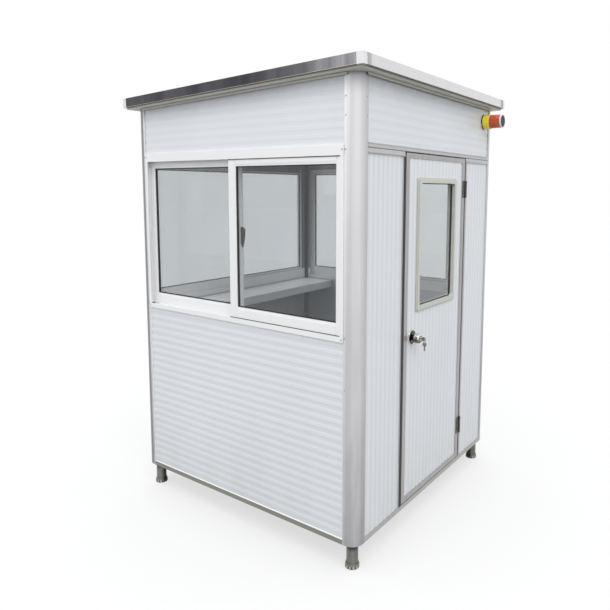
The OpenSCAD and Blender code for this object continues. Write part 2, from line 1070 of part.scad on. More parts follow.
module door_rosettes() {
    at_origin()
        color([0.75, 0.74, 0.7]) {
            translate([leaf_panel_face, knob_y, knob_height])
                rosette();
            translate([leaf_panel_back, knob_y, knob_height])
                mirror([1, 0, 0])
                    rosette();
        }
}

// The latch bolt and its plate in the edge of the leaf.
module latch_bolt() {
    at_origin()
        color([0.75, 0.74, 0.7])
            translate([leaf_middle, -latch_edge - seat, knob_height])
                rotate([90, 0, 0]) {
                    linear_extrude(height = edge_skin)
                        rounded_rect(bolt_plate_width, bolt_plate, edge_skin);
                    linear_extrude(height = bolt_reach)
                        square([bolt_size, bolt_size], center = true);
                }
}

// Knob and keys

// One knob turned about its own axis, from the spindle's middle outward.
module knob_half() {
    base = leaf_thick / 2 + rosette_thick;
    head = base + neck_length;
    reach = leaf_thick / 2 + knob_reach;
    core = knob_radius - knob_round;
    rotate([0, 90, 0])
        rotate_extrude()
            polygon(concat(
                [
                    [0, 0], [spindle_radius, 0], [spindle_radius, base], [neck_radius, base],
                    [neck_radius, head - knob_round / 2]
                ],
                [for (a = [-75 : 15 : 0])
                    [core + knob_round * cos(a), head + knob_round + knob_round * sin(a)]],
                [for (a = [0 : 15 : 90])
                    [core + knob_round * cos(a), reach - knob_round + knob_round * sin(a)]],
                [[0, reach]]
            ));
}

module door_knob() {
    at_origin()
        color([0.75, 0.74, 0.7])
            translate([leaf_middle, knob_y, knob_height]) {
                knob_half();
                mirror([1, 0, 0])
                    knob_half();
            }
}

// A flat key: bow with a hole, and a blade pointing down from the bow's middle.
module key(blade) {
    rotate([90, 0, 0])
        translate([0, 0, -key_thick / 2])
            linear_extrude(height = key_thick)
                difference() {
                    union() {
                        circle(r = key_bow);
                        translate([-key_width / 2, -key_bow - blade])
                            square([key_width, key_bow + blade]);
                    }
                    translate([0, key_bow / 2])
                        circle(r = key_hole);
                }
}

// One key stands in the knob, and another hangs from it on a ring.
module door_keys() {
    in_knob = half + knob_reach + key_bow + key_shank + seat;
    hole = key_bow / 2;
    ring_drop = ring_radius + key_hole / 2;
    at_origin()
        color([0.6, 0.58, 0.54])
            translate([in_knob, knob_y, knob_height]) {
                rotate([0, 90, 0])
                    key(key_shank);
                translate([hole, 0, -ring_drop]) {
                    rotate([0, 90, 0])
                        rotate_extrude()
                            translate([ring_radius, 0])
                                circle(r = ring_wire, $fn = 16);
                    translate([0, 0, -ring_drop - hole])
                        key(key_blade);
                }
            }
}

// Roof

// The roof panel: a slab in the fascia and a smaller soffit board under it.
module roof_panel() {
    inset = fascia_skin + seat;
    at_origin()
        color([0.8, 0.8, 0.78])
            on_roof()
                for (layer = [[inset, -slab, -inset], [soffit_inset, -soffit, -slab + eps]])
                    block([-roof_size + layer[0], -roof_size / 2 + layer[0], layer[1]],
                        [-layer[0], roof_size / 2 - layer[0], layer[2]]);
}

// The fascia along the front edge: a channel on its side round the edge of the roof panel,
// with its lower flange cut short for the soffit board.
module fascia_bar() {
    long = roof_size / 2 - cap_length - seat;
    translate([0, -roof_size / 2, 0])
        along_x(-long, long)
            difference() {
                translate([0, -fascia_height])
                    square([fascia_flange, fascia_height]);
                translate([fascia_skin, -fascia_height + fascia_skin])
                    square([fascia_flange, fascia_height - 2 * fascia_skin]);
                translate([soffit_inset - seat, -fascia_height - eps])
                    square([fascia_flange, fascia_height / 2]);
            }
}

module round_the_roof() {
    on_roof()
        translate([-roof_size / 2, 0, 0])
            for (turn = [0, 90, 180, 270])
                rotate([0, 0, turn])
                    children();
}

module roof_fascia() {
    at_origin()
        color([0.6, 0.6, 0.63])
            round_the_roof()
                fascia_bar();
}

// Plan of a corner cap: a square with its outer corner rounded, from the inner corner outward.
module cap_plan(size) {
    square([size - cap_radius, size]);
    square([size, size - cap_radius]);
    translate([size - cap_radius, size - cap_radius])
        circle(r = cap_radius);
}

// A corner cap: a hollow shell over the ends of two fascias and the corner of the roof panel.
module corner_cap() {
    outside = cap_skin - fascia_skin;
    size = cap_length + outside;
    room = cap_length - fascia_skin;
    board = cap_length - soffit_inset + seat;
    translate([-cap_length, -cap_length, 0])
        difference() {
            upright(-fascia_height - outside, 0)
                cap_plan(size);
            upright(-slab - seat, -fascia_skin)
                translate([-eps, -eps])
                    square([room + eps, room + eps]);
            upright(-fascia_height - outside - eps, -slab)
                translate([-eps, -eps])
                    square([board + eps, board + eps]);
        }
}

module roof_corner_caps() {
    at_origin()
        color([0.93, 0.93, 0.93])
            round_the_roof()
                translate([roof_size / 2, roof_size / 2, 0])
                    corner_cap();
}

// Desk under the window opposite the door

module desk_shelf() {
    reach = panel_back - seat;
    at_origin()
        color([0.72, 0.74, 0.75])
            to_left()
                difference() {
                    translate([0, -reach, desk_height])
                        along_x(-reach, reach)
                            polygon([
                                [0, -desk_thick], [desk_depth - desk_thick, -desk_thick],
                                [desk_depth - desk_thick, -desk_apron], [desk_depth, -desk_apron],
                                [desk_depth, 0], [0, 0]
                            ]);
                    for (sx = [-1, 1])
                        translate([sx * reach, -reach, desk_height - desk_thick])
                            corner_cut(reach, desk_thick);
                }
}

// Beacon on the door wall, each piece turned about the beacon's axis

module beacon_turn(out) {
    translate([panel_face + seat + out, beacon_offset, beacon_height])
        rotate([0, 90, 0])
            rotate_extrude()
                children();
}

module beacon_gasket() {
    at_origin()
        color([0.15, 0.15, 0.15])
            beacon_turn(0)
                polygon([
                    [0, 0], [beacon_radius, 0], [beacon_radius, gasket_thick / 2],
                    [base_radius, gasket_thick], [0, gasket_thick]
                ]);
}

module beacon_base() {
    at_origin()
        color([0.88, 0.82, 0.2])
            beacon_turn(base_at)
                polygon([
                    [0, 0], [base_radius, 0], [base_radius, beacon_base_length - beacon_setback],
                    [lens_radius + seat, beacon_base_length], [0, beacon_base_length]
                ]);
}

// The lens is ringed, and narrows a little toward its end.
module beacon_lens() {
    step = beacon_lens_length / lens_rings;
    taper = beacon_setback / 2 / beacon_lens_length;
    ring = [[0, 0], [0, step * 3 / 4], [ring_depth, step * 7 / 8]];
    at_origin()
        color([0.8, 0.3, 0.15])
            beacon_turn(lens_at)
                polygon(concat(
                    [[0, 0]],
                    [for (i = [0 : lens_rings - 1], p = ring)
                        [lens_radius - p[0] - (i * step + p[1]) * taper, i * step + p[1]]],
                    [[lens_radius - beacon_setback / 2, beacon_lens_length], [0, beacon_lens_length]]
                ));
}

module beacon_cap() {
    rim = lens_radius - beacon_setback;
    at_origin()
        color([0.2, 0.18, 0.22])
            beacon_turn(cap_at)
                polygon([
                    [0, 0], [rim, 0], [rim, beacon_cap_length / 2],
                    [rim - beacon_cap_length, beacon_cap_length], [0, beacon_cap_length]
                ]);
}

legs();
bottom_rails();
corner_columns();
front_lower_panel();
front_upper_panel();
left_lower_panel();
left_upper_panel();
rear_lower_panel();
rear_upper_panel();
door_side_upper_panel();
latch_side_panel();
hinge_side_panel();
front_window_frame();
front_outer_sash();
front_inner_sash();
left_window_frame();
left_outer_sash();
left_inner_sash();
rear_window_frame();
rear_outer_sash();
rear_inner_sash();
window_glass();
window_latches();
transom_rail();
latch_jamb();
hinge_jamb();
jamb_hinge_leaves();
roof_panel();
roof_fascia();
roof_corner_caps();
desk_shelf();
floor_panel();
beacon_gasket();
beacon_base();
beacon_lens();
beacon_cap();
door_panel();
door_edge_frame();
door_window_frame();
door_window_glass();
door_hinge_leaves();
door_rosettes();
latch_bolt();
door_knob();
door_keys();
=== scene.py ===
"""Looks of the guard booth: finishes for its solids, and the seals, screws and trim that dress them."""

import logging
import math
from dataclasses import dataclass, replace
from enum import Enum
from functools import cached_property, reduce

import bmesh
import bpy
import numpy as np
from mathutils import Matrix, Vector


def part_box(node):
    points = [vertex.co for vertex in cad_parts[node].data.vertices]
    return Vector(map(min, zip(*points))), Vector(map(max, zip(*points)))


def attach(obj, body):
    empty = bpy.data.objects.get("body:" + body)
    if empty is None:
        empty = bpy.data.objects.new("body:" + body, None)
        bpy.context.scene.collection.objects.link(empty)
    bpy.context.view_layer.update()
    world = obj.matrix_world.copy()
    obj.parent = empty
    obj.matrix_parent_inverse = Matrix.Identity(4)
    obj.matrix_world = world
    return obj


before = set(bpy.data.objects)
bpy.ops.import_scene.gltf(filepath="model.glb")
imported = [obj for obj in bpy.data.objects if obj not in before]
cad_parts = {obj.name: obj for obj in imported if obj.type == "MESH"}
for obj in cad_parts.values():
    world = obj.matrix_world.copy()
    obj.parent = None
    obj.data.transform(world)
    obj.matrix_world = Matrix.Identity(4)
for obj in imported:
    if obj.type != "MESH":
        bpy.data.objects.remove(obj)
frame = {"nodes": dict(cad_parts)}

LOG = logging.getLogger("booth")
Colour = tuple[float, float, float]
Point = tuple[float, float, float]
Range = tuple[float, float]
Node, Socket = bpy.types.Node, bpy.types.NodeSocket
Tree, Material = bpy.types.NodeTree, bpy.types.Material
X, Y, Z = np.eye(3)

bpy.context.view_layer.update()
RAIL_LOW, RAIL_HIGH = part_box("bottom_rails")
MIDDLE_X = (RAIL_LOW.x + RAIL_HIGH.x) / 2
COLUMN_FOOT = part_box("corner_columns")[0].z
# Flanges of the columns, from the middle of a wall
FLANGE_TIP = 0.676
FLANGE_MIDDLE = 0.6831
PANEL_FACE = 0.7467
KNOB_AXIS = (-0.254, 1.009)
# Heights at the roof are given less its rise: the top of the walls, and the foot of the fascia
ROOF_SLOPE = 0.0375
EAVE_LINE = 2.2125
FASCIA_FOOT = 2.2246
# Gap that keeps a piece off the face it sits on
SEAT = 0.0001
MERGE = 1e-6
BUMP_DISTANCE = 0.002


class Body(Enum):
    """The bodies that pieces ride on."""

    BOOTH = "booth"
    DOOR = "door"


class Wall(Enum):
    """The walls by the turn in degrees that brings the front wall to them."""

    FRONT = 0.0
    DOOR = 90.0
    REAR = 180.0
    LEFT = -90.0


WINDOW_WALLS = (Wall.FRONT, Wall.LEFT, Wall.REAR)


# Surfaces


class Surface:
    """A mesh gathered from grids of points, each worked out as a whole array."""

    def __init__(self) -> None:
        """Starts with no points."""
        self.points: list[np.ndarray] = []
        self.faces: list[np.ndarray] = []
        self.ends: list[np.ndarray] = []
        self.count = 0

    def grid(self, points: np.ndarray, wrap: bool = False, capped: bool = True) -> "Surface":
        """Adds a tube of quads: cell (i, j) joins rows i and i + 1, columns j and j + 1.

        Args:
            points: array of rows by columns by 3; the last column joins the first.
            wrap: whether the last row joins the first.
            capped: whether the first and last rows are closed with a face.

        Returns:
            The surface itself.
        """
        rows, columns = points.shape[:2]
        i, j = np.meshgrid(np.arange(rows if wrap else rows - 1), np.arange(columns), indexing="ij")
        i1, j1 = (i + 1) % rows, (j + 1) % columns
        quads = [i * columns + j, i * columns + j1, i1 * columns + j1, i1 * columns + j]
        self.points.append(points.reshape(-1, 3))
        self.faces.append(np.stack(quads, axis=-1).reshape(-1, 4) + self.count)
        if capped and not wrap:
            ring = np.arange(columns) + self.count
            self.ends += [ring[::-1], ring + (rows - 1) * columns]
        self.count += rows * columns
        return self

    def add(self, other: "Surface", turn: np.ndarray = np.eye(3),
            move: np.ndarray = np.zeros(3)) -> "Surface":
        """Adds another surface turned and moved.

        Args:
            other: the surface to copy in.
            turn: 3 by 3 rotation.
            move: the place of its origin.

        Returns:
            The surface itself.
        """
        self.points += [points @ turn.T + move for points in other.points]
        self.faces += [face + self.count for face in other.faces]
        self.ends += [end + self.count for end in other.ends]
        self.count += other.count
        return self

    def piece(self, name: str, finish: "Finishes", body: Body, slot: str, smooth: bool = False) -> None:
        """Makes the object, with its faces turned outward, and lets it ride on its body.

        Args:
            name: the piece's name.
            finish: its finish.
            body: the body that carries it.
            slot: not used.
            smooth: whether its faces are shaded smooth.
        """
        mesh = bpy.data.meshes.new(name)
        faces = [face for block in self.faces for face in block.tolist()]
        mesh.from_pydata(np.concatenate(self.points).tolist(), [],
                         faces + [end.tolist() for end in self.ends])
        mesh.materials.append(finish.built)
        mesh.polygons.foreach_set("use_smooth", np.full(len(mesh.polygons), smooth))
        made = bpy.data.objects.new(name, mesh)
        bpy.context.scene.collection.objects.link(made)
        face_outward(mesh)
        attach(made, body.value)
        LOG.info("%s: %d faces", name, len(mesh.polygons))


def face_outward(mesh: bpy.types.Mesh) -> None:
    """Merges doubled points and turns the faces of closed shells outward.

    Args:
        mesh: the mesh to change.
    """
    work = bmesh.new()
    work.from_mesh(mesh)
    bmesh.ops.remove_doubles(work, verts=work.verts, dist=MERGE)
    bmesh.ops.recalc_face_normals(work, faces=work.faces)
    work.to_mesh(mesh)
    work.free()
    mesh.update()


def turn_about_z(degrees: float) -> np.ndarray:
    """The 3 by 3 rotation about Z by an angle in degrees."""
    return np.array(Matrix.Rotation(math.radians(degrees), 3, "Z"))


def ring_strip(profile: np.ndarray, low: Range, high: Range, out: float) -> Surface:
    """A profile carried round a rectangle on the front wall with mitred corners.

    The corner (sx, sz) of profile point (u, v) lies u outside the rectangle both ways, and v outward.

    Args:
        profile: k by 2 array of (u, v).
        low: lowest x and z of the rectangle.
        high: highest x and z of the rectangle.
        out: distance of the wall plane from the middle.

    Returns:
        The closed ring.
    """
    signs = np.array([[-1, -1], [1, -1], [1, 1], [-1, 1]], float)
    middle = (np.array(low) + np.array(high)) / 2
    reach = (np.array(high) - np.array(low)) / 2
    plan = middle + signs[:, None, :] * (reach + profile[None, :, :1])
    depth = np.broadcast_to(-(out + profile[:, 1]), plan.shape[:2])
    return Surface().grid(np.stack([plan[..., 0], depth, plan[..., 1]], axis=-1), wrap=True)


def pane_beads(size: float, lap: float, low: Range, high: Range, glass: float,
               off: float) -> list[Surface]:
    """Quarter-round beads round both faces of a pane: an arc from the glass to the frame.

    Args:
        size: radius of a bead.
        lap: how far it goes into the frame.
        low: lowest x and z of the pane.
        high: highest x and z of the pane.
        glass: distance of the pane's middle from the middle of the booth.
        off: distance of a bead from the pane's middle.

    Returns:
        The outer and the inner bead.
    """
    angle = np.linspace(0, math.pi / 2, 5)
    arc = np.stack([-size * np.cos(angle), size * np.sin(angle)], axis=-1)
    bead = np.concatenate([[[lap, 0.0]], arc, [[lap, size]]])
    return [ring_strip(bead * np.array([1.0, face]), low, high, glass + face * off)
            for face in (1.0, -1.0)]


def straight_strip(profile: np.ndarray, start: np.ndarray, end: np.ndarray, side: np.ndarray,
                   up: np.ndarray) -> Surface:
    """A profile carried from one point to another: start or end, plus u times side and v times up.

    Args:
        profile: k by 2 array of (u, v).
        start: first point of the line.
        end: last point of the line.
        side: direction of u.
        up: direction of v.

    Returns:
        The strip with closed ends.
    """
    section = profile[:, :1] * side + profile[:, 1:] * up
    return Surface().grid(np.stack([start + section, end + section]))


def turned(profile: np.ndarray, steps: int) -> Surface:
    """A profile turned about X: point (r, h) goes round to (h, r cos a, r sin a).

    Args:
        profile: k by 2 array of radius and height; a closed loop where it doesn't start on the axis.
        steps: number of steps round.

    Returns:
        The turned shape.
    """
    angle = np.linspace(0, 2 * math.pi, steps, endpoint=False)
    radius, height = profile[:, 0][:, None], profile[:, 1][:, None]
    points = np.stack([height + 0 * angle, radius * np.cos(angle), radius * np.sin(angle)], axis=-1)
    return Surface().grid(points, wrap=bool(profile[0, 0] > MERGE), capped=False)


def rounded(width: float, height: float, round_by: float) -> np.ndarray:
    """A rectangle profile with round corners: each corner is a quarter circle about its own middle.

    Args:
        width: size in u.
        height: size in v.
        round_by: corner radius.

    Returns:
        Array of (u, v) points round the outline, from its middle.
    """
    quarter = np.arange(4)[:, None] * math.pi / 2 + np.linspace(0, math.pi / 2, 3)
    core = np.array([width / 2 - round_by, height / 2 - round_by])
    corner = np.array([[1, 1], [-1, 1], [-1, -1], [1, -1]]) * core
    wave = np.stack([np.cos(quarter), np.sin(quarter)], axis=-1) * round_by
    return (corner[:, None, :] + wave).reshape(-1, 2)


def screw_head(radius: float, height: float) -> Surface:
    """A pan-head screw turned about X: a dome whose height falls off as a quarter ellipse, dimpled.

    Args:
        radius: radius of the head.
        height: height of the head.

    Returns:
        The head, with its underside at x = 0.
    """
    steps, skirt, crown = 10, 0.25, 0.3
    dimple = [[radius * 0.22, height * 0.55], [0, height * 0.5]]
    angle = np.linspace(0, math.pi / 2, 5)
    rise = skirt + (1 - skirt) * np.sin(angle)
    dome = np.stack([radius * np.cos(angle), rise * height], axis=-1)
    dome[-1] = [radius * crown, dome[-2, 1]]
    return turned(np.concatenate([[[0, 0], [radius, 0]], dome, dimple]), steps)


# Shader node groups


@dataclass
class Wiring:
    """Short forms for placing and joining nodes in one tree."""

    tree: Tree

    def node(self, kind: str, **settings: object) -> Node:
        """Places a node.

        Args:
            kind: its type without the usual prefix.
            settings: its properties by name.

        Returns:
            The node.
        """
        made = self.tree.nodes.new("ShaderNode" + kind)
        for key, value in settings.items():
            setattr(made, key, value)
        return made

    def feed(self, target: Socket, value: object) -> None:
        """Joins a socket to a target, or sets the target to a number, a colour tuple or a list.

        Args:
            target: the socket to feed.
            value: what feeds it.
        """
        if isinstance(value, Socket):
            self.tree.links.new(value, target)
        else:
            target.default_value = (*value, 1.0) if isinstance(value, tuple) else value

    def by_name(self, made: Node, values: dict[str | int, object]) -> Node:
        """Feeds inputs of a node.

        Args:
            made: the node.
            values: what feeds each input, by its name or number.

        Returns:
            The node.
        """
        for label, value in values.items():
            self.feed(made.inputs[label], value)
        return made

    def in_order(self, made: Node, *values: object) -> Socket:
        """Feeds a node's inputs from the first on and gives its first output."""
        return self.by_name(made, dict(enumerate(values))).outputs[0]

    def math(self, operation: str, *values: object) -> Socket:
        """A math node on sockets or numbers."""
        return self.in_order(self.node("Math", operation=operation), *values)

    def vector(self, operation: str, *values: object) -> Socket:
        """A vector math node on sockets or lists."""
        return self.in_order(self.node("VectorMath", operation=operation), *values)

    def times(self, *values: object) -> Socket:
        """The product of sockets or numbers."""
        return reduce(lambda first, second: self.math("MULTIPLY", first, second), values)

    def less(self, first: object, second: object) -> Socket:
        """The difference of two sockets or numbers."""
        return self.math("SUBTRACT", first, second)

    def most(self, *values: object) -> Socket:
        """The greatest of sockets or numbers."""
        return reduce(lambda first, second: self.math("MAXIMUM", first, second), values)

    def mix(self, share: object, first: object, second: object) -> Socket:
        """A mix of two colours, each a socket or a colour, by a share of the second."""
        made = self.node("Mix", data_type="RGBA")
        return self.by_name(made, {0: share, 6: first, 7: second}).outputs[2]

    def spread(self, value: Socket, start: Range, end: Range = (0.0, 1.0)) -> Socket:
        """A clamped map of a socket from one range to another."""
        return self.in_order(self.node("MapRange"), value, *start, *end)

    def noise(self, place: Socket, scale: object, detail: float = 2.0) -> Socket:
        """A noise read at a place, by its scale and by how many finer ones are laid on it."""
        values = {"Vector": place, "Scale": scale, "Detail": detail}
        return self.by_name(self.node("TexNoise"), values).outputs["Fac"]

    def place(self) -> Socket:
        """The place on the object."""
        return self.node("TexCoord").outputs["Object"]

    def axes(self, vector: Socket) -> list[Socket]:
        """The three parts of a vector."""
        return list(self.by_name(self.node("SeparateXYZ"), {0: vector}).outputs)

    def roof_level(self) -> Socket:
        """Height of a point less the rise of the roof at its place."""
        x, _, z = self.axes(self.place())
        return self.less(z, self.times(x, ROOF_SLOPE))

    def effect(self, group: Tree, **values: float) -> bpy.types.bpy_prop_collection:
        """Places a shared effect with its own values and gives what it puts out."""
        return self.by_name(self.node("Group", node_tree=group), values).outputs

    def grain(self, scale: float, along: Colour) -> tuple[Socket, Socket]:
        """Places the grain, stretched along the axes, and gives its shade and height."""
        made = self.effect(Groups.grain, Scale=scale, AlongX=along[0], AlongY=along[1], AlongZ=along[2])
        return made["Shade"], made["Height"]

    def bump(self, height: Socket, strength: float, **normal: Socket) -> Socket:
        """A bump by its height and strength, over another normal where one is given."""
        values = {"Height": height, "Strength": strength, "Distance": BUMP_DISTANCE, **normal}
        return self.by_name(self.node("Bump"), values).outputs[0]


class Group(Wiring):
    """A node group in the making, with its numbers and its outputs by name."""

    def __init__(self, name: str, *outputs: str, kind: str = "NodeSocketFloat",
                 **inputs: float) -> None:
        """Makes the group and its sockets.

        Args:
            name: name of the group.
            outputs: names of what it puts out.
            kind: socket type of the outputs.
            inputs: the numbers that go in, with their usual values.
        """
        super().__init__(bpy.data.node_groups.new(name, "ShaderNodeTree"))
        new_socket = self.tree.interface.new_socket
        for label, usual in inputs.items():
            new_socket(label, in_out="INPUT", socket_type="NodeSocketFloat").default_value = usual
        for label in outputs:
            new_socket(label, in_out="OUTPUT", socket_type=kind)
        self.given = self.tree.nodes.new("NodeGroupInput").outputs
        self.out = self.tree.nodes.new("NodeGroupOutput").inputs

    def put(self, label: str, value: Socket) -> None:
        """Joins a socket to a named output."""
        self.feed(self.out[label], value)

    def from_middle(self) -> tuple[Socket, ...]:
        """Where a point lies.

        Returns:
            Its x, y and z, and how far it is from the booth's middle along X and along Y.
        """
        x, y, z = self.axes(self.place())
        out_x = self.math("ABSOLUTE", self.less(x, self.given["Middle"]))
        return x, y, z, out_x, self.math("ABSOLUTE", y)


def grain_group() -> Tree:
    """Grain: noise stretched along the three axes, as a shade and as a height.

    Returns:
        The group.
    """
    w = Group("grain", "Shade", "Height", Scale=40.0, AlongX=1.0, AlongY=1.0, AlongZ=1.0, Finer=6.0)
    along = w.in_order(w.node("CombineXYZ"), w.given["AlongX"], w.given["AlongY"], w.given["AlongZ"])
    place = w.vector("MULTIPLY", w.place(), along)
    w.put("Shade", w.spread(w.noise(place, w.given["Scale"], 5.0), (0.3, 0.7)))
    w.put("Height", w.noise(place, w.times(w.given["Scale"], w.given["Finer"]), 3.0))
    return w.tree


def dust_and_shade_group() -> Tree:
    """Dust, and on the columns painted shade: a mask that rises as a power toward the foot of the
    walls, broken up by upright streaks.

    Returns:
        The group.
    """
    w = Group("dust_and_shade", "Mask", Reach=0.5, Power=1.6, Streaks=9.0)
    height = w.axes(w.place())[2]
    low = w.spread(w.math("DIVIDE", height, w.given["Reach"]), (0.0, 1.0), (1.0, 0.0))
    streak = w.noise(w.vector("MULTIPLY", w.place(), [1.0, 1.0, 0.15]), w.given["Streaks"], 4.0)
    broken = w.spread(streak, (0.35, 0.75), (0.25, 1.0))
    w.put("Mask", w.times(w.math("POWER", low, w.given["Power"]), broken))
    return w.tree


def scuff_group() -> Tree:
    """Scuffs: thin short marks where the edges of a cell pattern and a noise both run high.

    Returns:
        The group.
    """
    w = Group("scuffs", "Mask", Scale=12.0, Spots=0.6)
    cells = w.by_name(w.node("TexVoronoi", feature="DISTANCE_TO_EDGE"),
                      {"Vector": w.place(), "Scale": w.given["Scale"]})
    line = w.spread(cells.outputs["Distance"], (0.0, 0.02), (1.0, 0.0))
    spots = w.noise(w.place(), w.times(w.given["Scale"], w.given["Spots"]))
    w.put("Mask", w.times(line, w.spread(spots, (0.58, 0.7))))
    return w.tree


def groove_group() -> Tree:
    """Grooves: how far a point lies below the outer face of a wall, as a share of the rib depth, for
    painted shade in the grooves.

    The distance from the booth's middle is the greater of those along X and Y. The inside mask, for
    painted shade within the booth, goes on inward and is weaker below a height, and the side mask marks
    the door wall and the one across.

    Returns:
        The group.
    """
    w = Group("grooves", "Mask", "Inside", "Side", Middle=MIDDLE_X, Face=0.75, Depth=0.0015, Above=-1.0)
    _, _, z, out_x, out_y = w.from_middle()
    w.put("Side", w.math("GREATER_THAN", out_x, out_y))
    below = w.math("DIVIDE", w.less(w.given["Face"], w.most(out_x, out_y)), w.given["Depth"])
    sunk = w.spread(below, (0.0, 1.0))
    w.put("Mask", w.times(sunk, w.math("LESS_THAN", below, 2.0)))
    over = w.spread(w.less(z, w.given["Above"]), (-0.01, 0.0), (0.12, 1.0))
    w.put("Inside", w.times(sunk, over))
    return w.tree


def eave_group() -> Tree:
    """Painted eave shade: a mask that rises as a power toward a line along the pitch of the roof, with
    spots.

    Returns:
        The group.
    """
    w = Group("eave", "Mask", Reach=0.1, Line=EAVE_LINE, Power=1.7, Spots=14.0)
    short = w.math("DIVIDE", w.less(w.roof_level(), w.given["Line"]), w.given["Reach"])
    rise = w.math("POWER", w.spread(short, (-1.0, 0.0)), w.given["Power"])
    spots = w.spread(w.noise(w.place(), w.given["Spots"]), (0.3, 0.7), (0.8, 1.0))
    w.put("Mask", w.times(rise, spots))
    return w.tree


def even_group() -> Tree:
    """Even shading: the face's own direction, leaned toward that of its wall on a board's outer side.

    The wall's direction is along X or Y, whichever way the point lies further from the booth's middle.

    Returns:
        The group.
    """
    w = Group("even", "Normal", kind="NodeSocketVector", Middle=MIDDLE_X, Face=0.74, Share=0.5)
    x, y, _, out_x, out_y = w.from_middle()
    on_side = w.math("GREATER_THAN", out_x, out_y)
    outer = w.math("GREATER_THAN", w.most(out_x, out_y), w.given["Face"])
    lean = w.times(outer, w.given["Share"])
    to_wall = (w.times(w.math("SIGN", x), on_side, lean),
               w.times(w.math("SIGN", y), w.less(1.0, on_side), lean))
    own = w.by_name(w.node("VectorMath", operation="SCALE"),
                    {0: w.node("NewGeometry").outputs["Normal"], "Scale": w.less(1.0, lean)})
    both = w.vector("ADD", own.outputs[0], w.in_order(w.node("CombineXYZ"), *to_wall))
    w.put("Normal", w.vector("NORMALIZE", both))
    return w.tree


def column_shade_group() -> Tree:
    """Column shade: painted shade in bands up the two sides of a quarter-round column.

    The bands lie by how much nearer a point is to one wall than to the other, and the front one widens
    under the low side of the roof.

    Returns:
        The group.
    """
    w = Group("column_shade", "Mask", Middle=MIDDLE_X)
    x, _, _, out_x, out_y = w.from_middle()
    offset = w.less(out_x, out_y)
    narrow = w.spread(offset, (-0.040, -0.012), (0.2, 0.0))
    low_side = w.spread(x, (-0.1, 0.1), (1.0, 0.0))
    wide = w.times(low_side, w.spread(offset, (0.0, 0.03), (1.0, 0.0)))
    front = w.times(w.spread(offset, (-0.063, -0.059)), w.most(narrow, wide))
    w.put("Mask", w.most(front, w.spread(offset, (0.014, 0.056), (0.0, 0.38))))
    return w.tree


def ring_group() -> Tree:
    """Rings: a mask between two radii about the axis of the knob, faded at both edges.

    Returns:
        The group.
    """
    w = Group("rings", "Mask", Inner=0.01, Outer=0.02)
    _, y, z = w.axes(w.place())
    side, rise = w.less(y, KNOB_AXIS[0]), w.less(z, KNOB_AXIS[1])
    radius = w.math("SQRT", w.math("ADD", w.times(side, side), w.times(rise, rise)))
    fade = (0.0, 0.002)
    past = w.spread(w.less(radius, w.given["Inner"]), fade)
    w.put("Mask", w.times(past, w.spread(w.less(w.given["Outer"], radius), fade)))
    return w.tree


def leg_group() -> Tree:
    """Legs: painted shade toward the booth's middle, under the columns and in the notches, and the rim.

    Offsets from a leg's axis are mirrored into one corner. The shade follows their sum, and the notches
    a cosine of the angle between them.

    Returns:
        The group.
    """
    w = Group("legs", "Shade", "Rim", Middle=MIDDLE_X, Axis=0.695, Top=COLUMN_FOOT, Notches=12.0)
    _, _, z, out_x, out_y = w.from_middle()
    off_x, off_y = w.less(out_x, w.given["Axis"]), w.less(out_y, w.given["Axis"])
    inward = w.spread(w.math("ADD", off_x, off_y), (-0.027, -0.009), (1.0, 0.0))
    under = w.spread(w.less(z, w.given["Top"]), (-0.040, -0.017))
    rim = w.spread(z, (0.0135, 0.0165), (1.0, 0.0))
    wave = w.math("COSINE", w.times(w.math("ARCTAN2", off_y, off_x), w.given["Notches"]))
    w.put("Rim", rim)
    w.put("Shade", w.most(inward, under, w.times(rim, w.spread(wave, (0.0, 0.7)))))
    return w.tree


def ground_group() -> Tree:
    """Ground: a mask of the faces that look down past a level, for a painted reflection of a dark
    ground in polished metal.

    Returns:
        The group.
    """
    w = Group("ground", "Mask", Level=0.05)
    rise = w.axes(w.node("NewGeometry").outputs["Normal"])[2]
    w.put("Mask", w.spread(w.less(rise, w.given["Level"]), (-0.15, 0.0), (1.0, 0.0)))
    return w.tree


class Groups:
    """The shared effects, each built once."""

    grain = grain_group()
    dust_and_shade = dust_and_shade_group()
    scuffs = scuff_group()
    grooves = groove_group()
    eave = eave_group()
    column_shade = column_shade_group()
    even = even_group()
    rings = ring_group()
    legs = leg_group()
    ground = ground_group()


# Finishes


@dataclass(frozen=True)
class Layer:
    """A shared effect laid over a finish: a colour that shows by a share of one of its masks."""

    group: Tree
    share: float
    colour: Colour
    mask: str = "Mask"
    rough: float = 0.0
    values: tuple[tuple[str, float], ...] = ()

    def cover(self, w: Wiring) -> Socket:
        """Places the effect in a tree and gives how much of it shows."""
        return w.times(w.effect(self.group, **dict(self.values))[self.mask], self.share)


def scuffs(share: float) -> Layer:
    """Short pale marks."""
    return Layer(Groups.scuffs, share, (0.6, 0.6, 0.6))


def grooves(share: float, face: float = PANEL_FACE) -> Layer:
    """Painted shade in the grooves between the ribs of a board with its outer face at a distance."""
    return Layer(Groups.grooves, share, (0.52, 0.55, 0.59), values=(("Face", face),))


def inside_shade(share: float, colour: Colour, edge: float = 0.7015, above: float = -1.0) -> Layer:
    """Painted shade further in than an edge, weaker below a height."""
    return Layer(Groups.grooves, share, colour, "Inside",
                 values=(("Face", edge), ("Depth", 0.002), ("Above", above)))


def dust_and_shade(share: float, reach: float = 0.5, colour: Colour = (0.42, 0.40, 0.36)) -> Layer:
    """Dull dust up to a height; where it reaches a column's whole height, painted shade toward its
    foot.
    """
    return Layer(Groups.dust_and_shade, share, colour, rough=0.3, values=(("Reach", reach),))


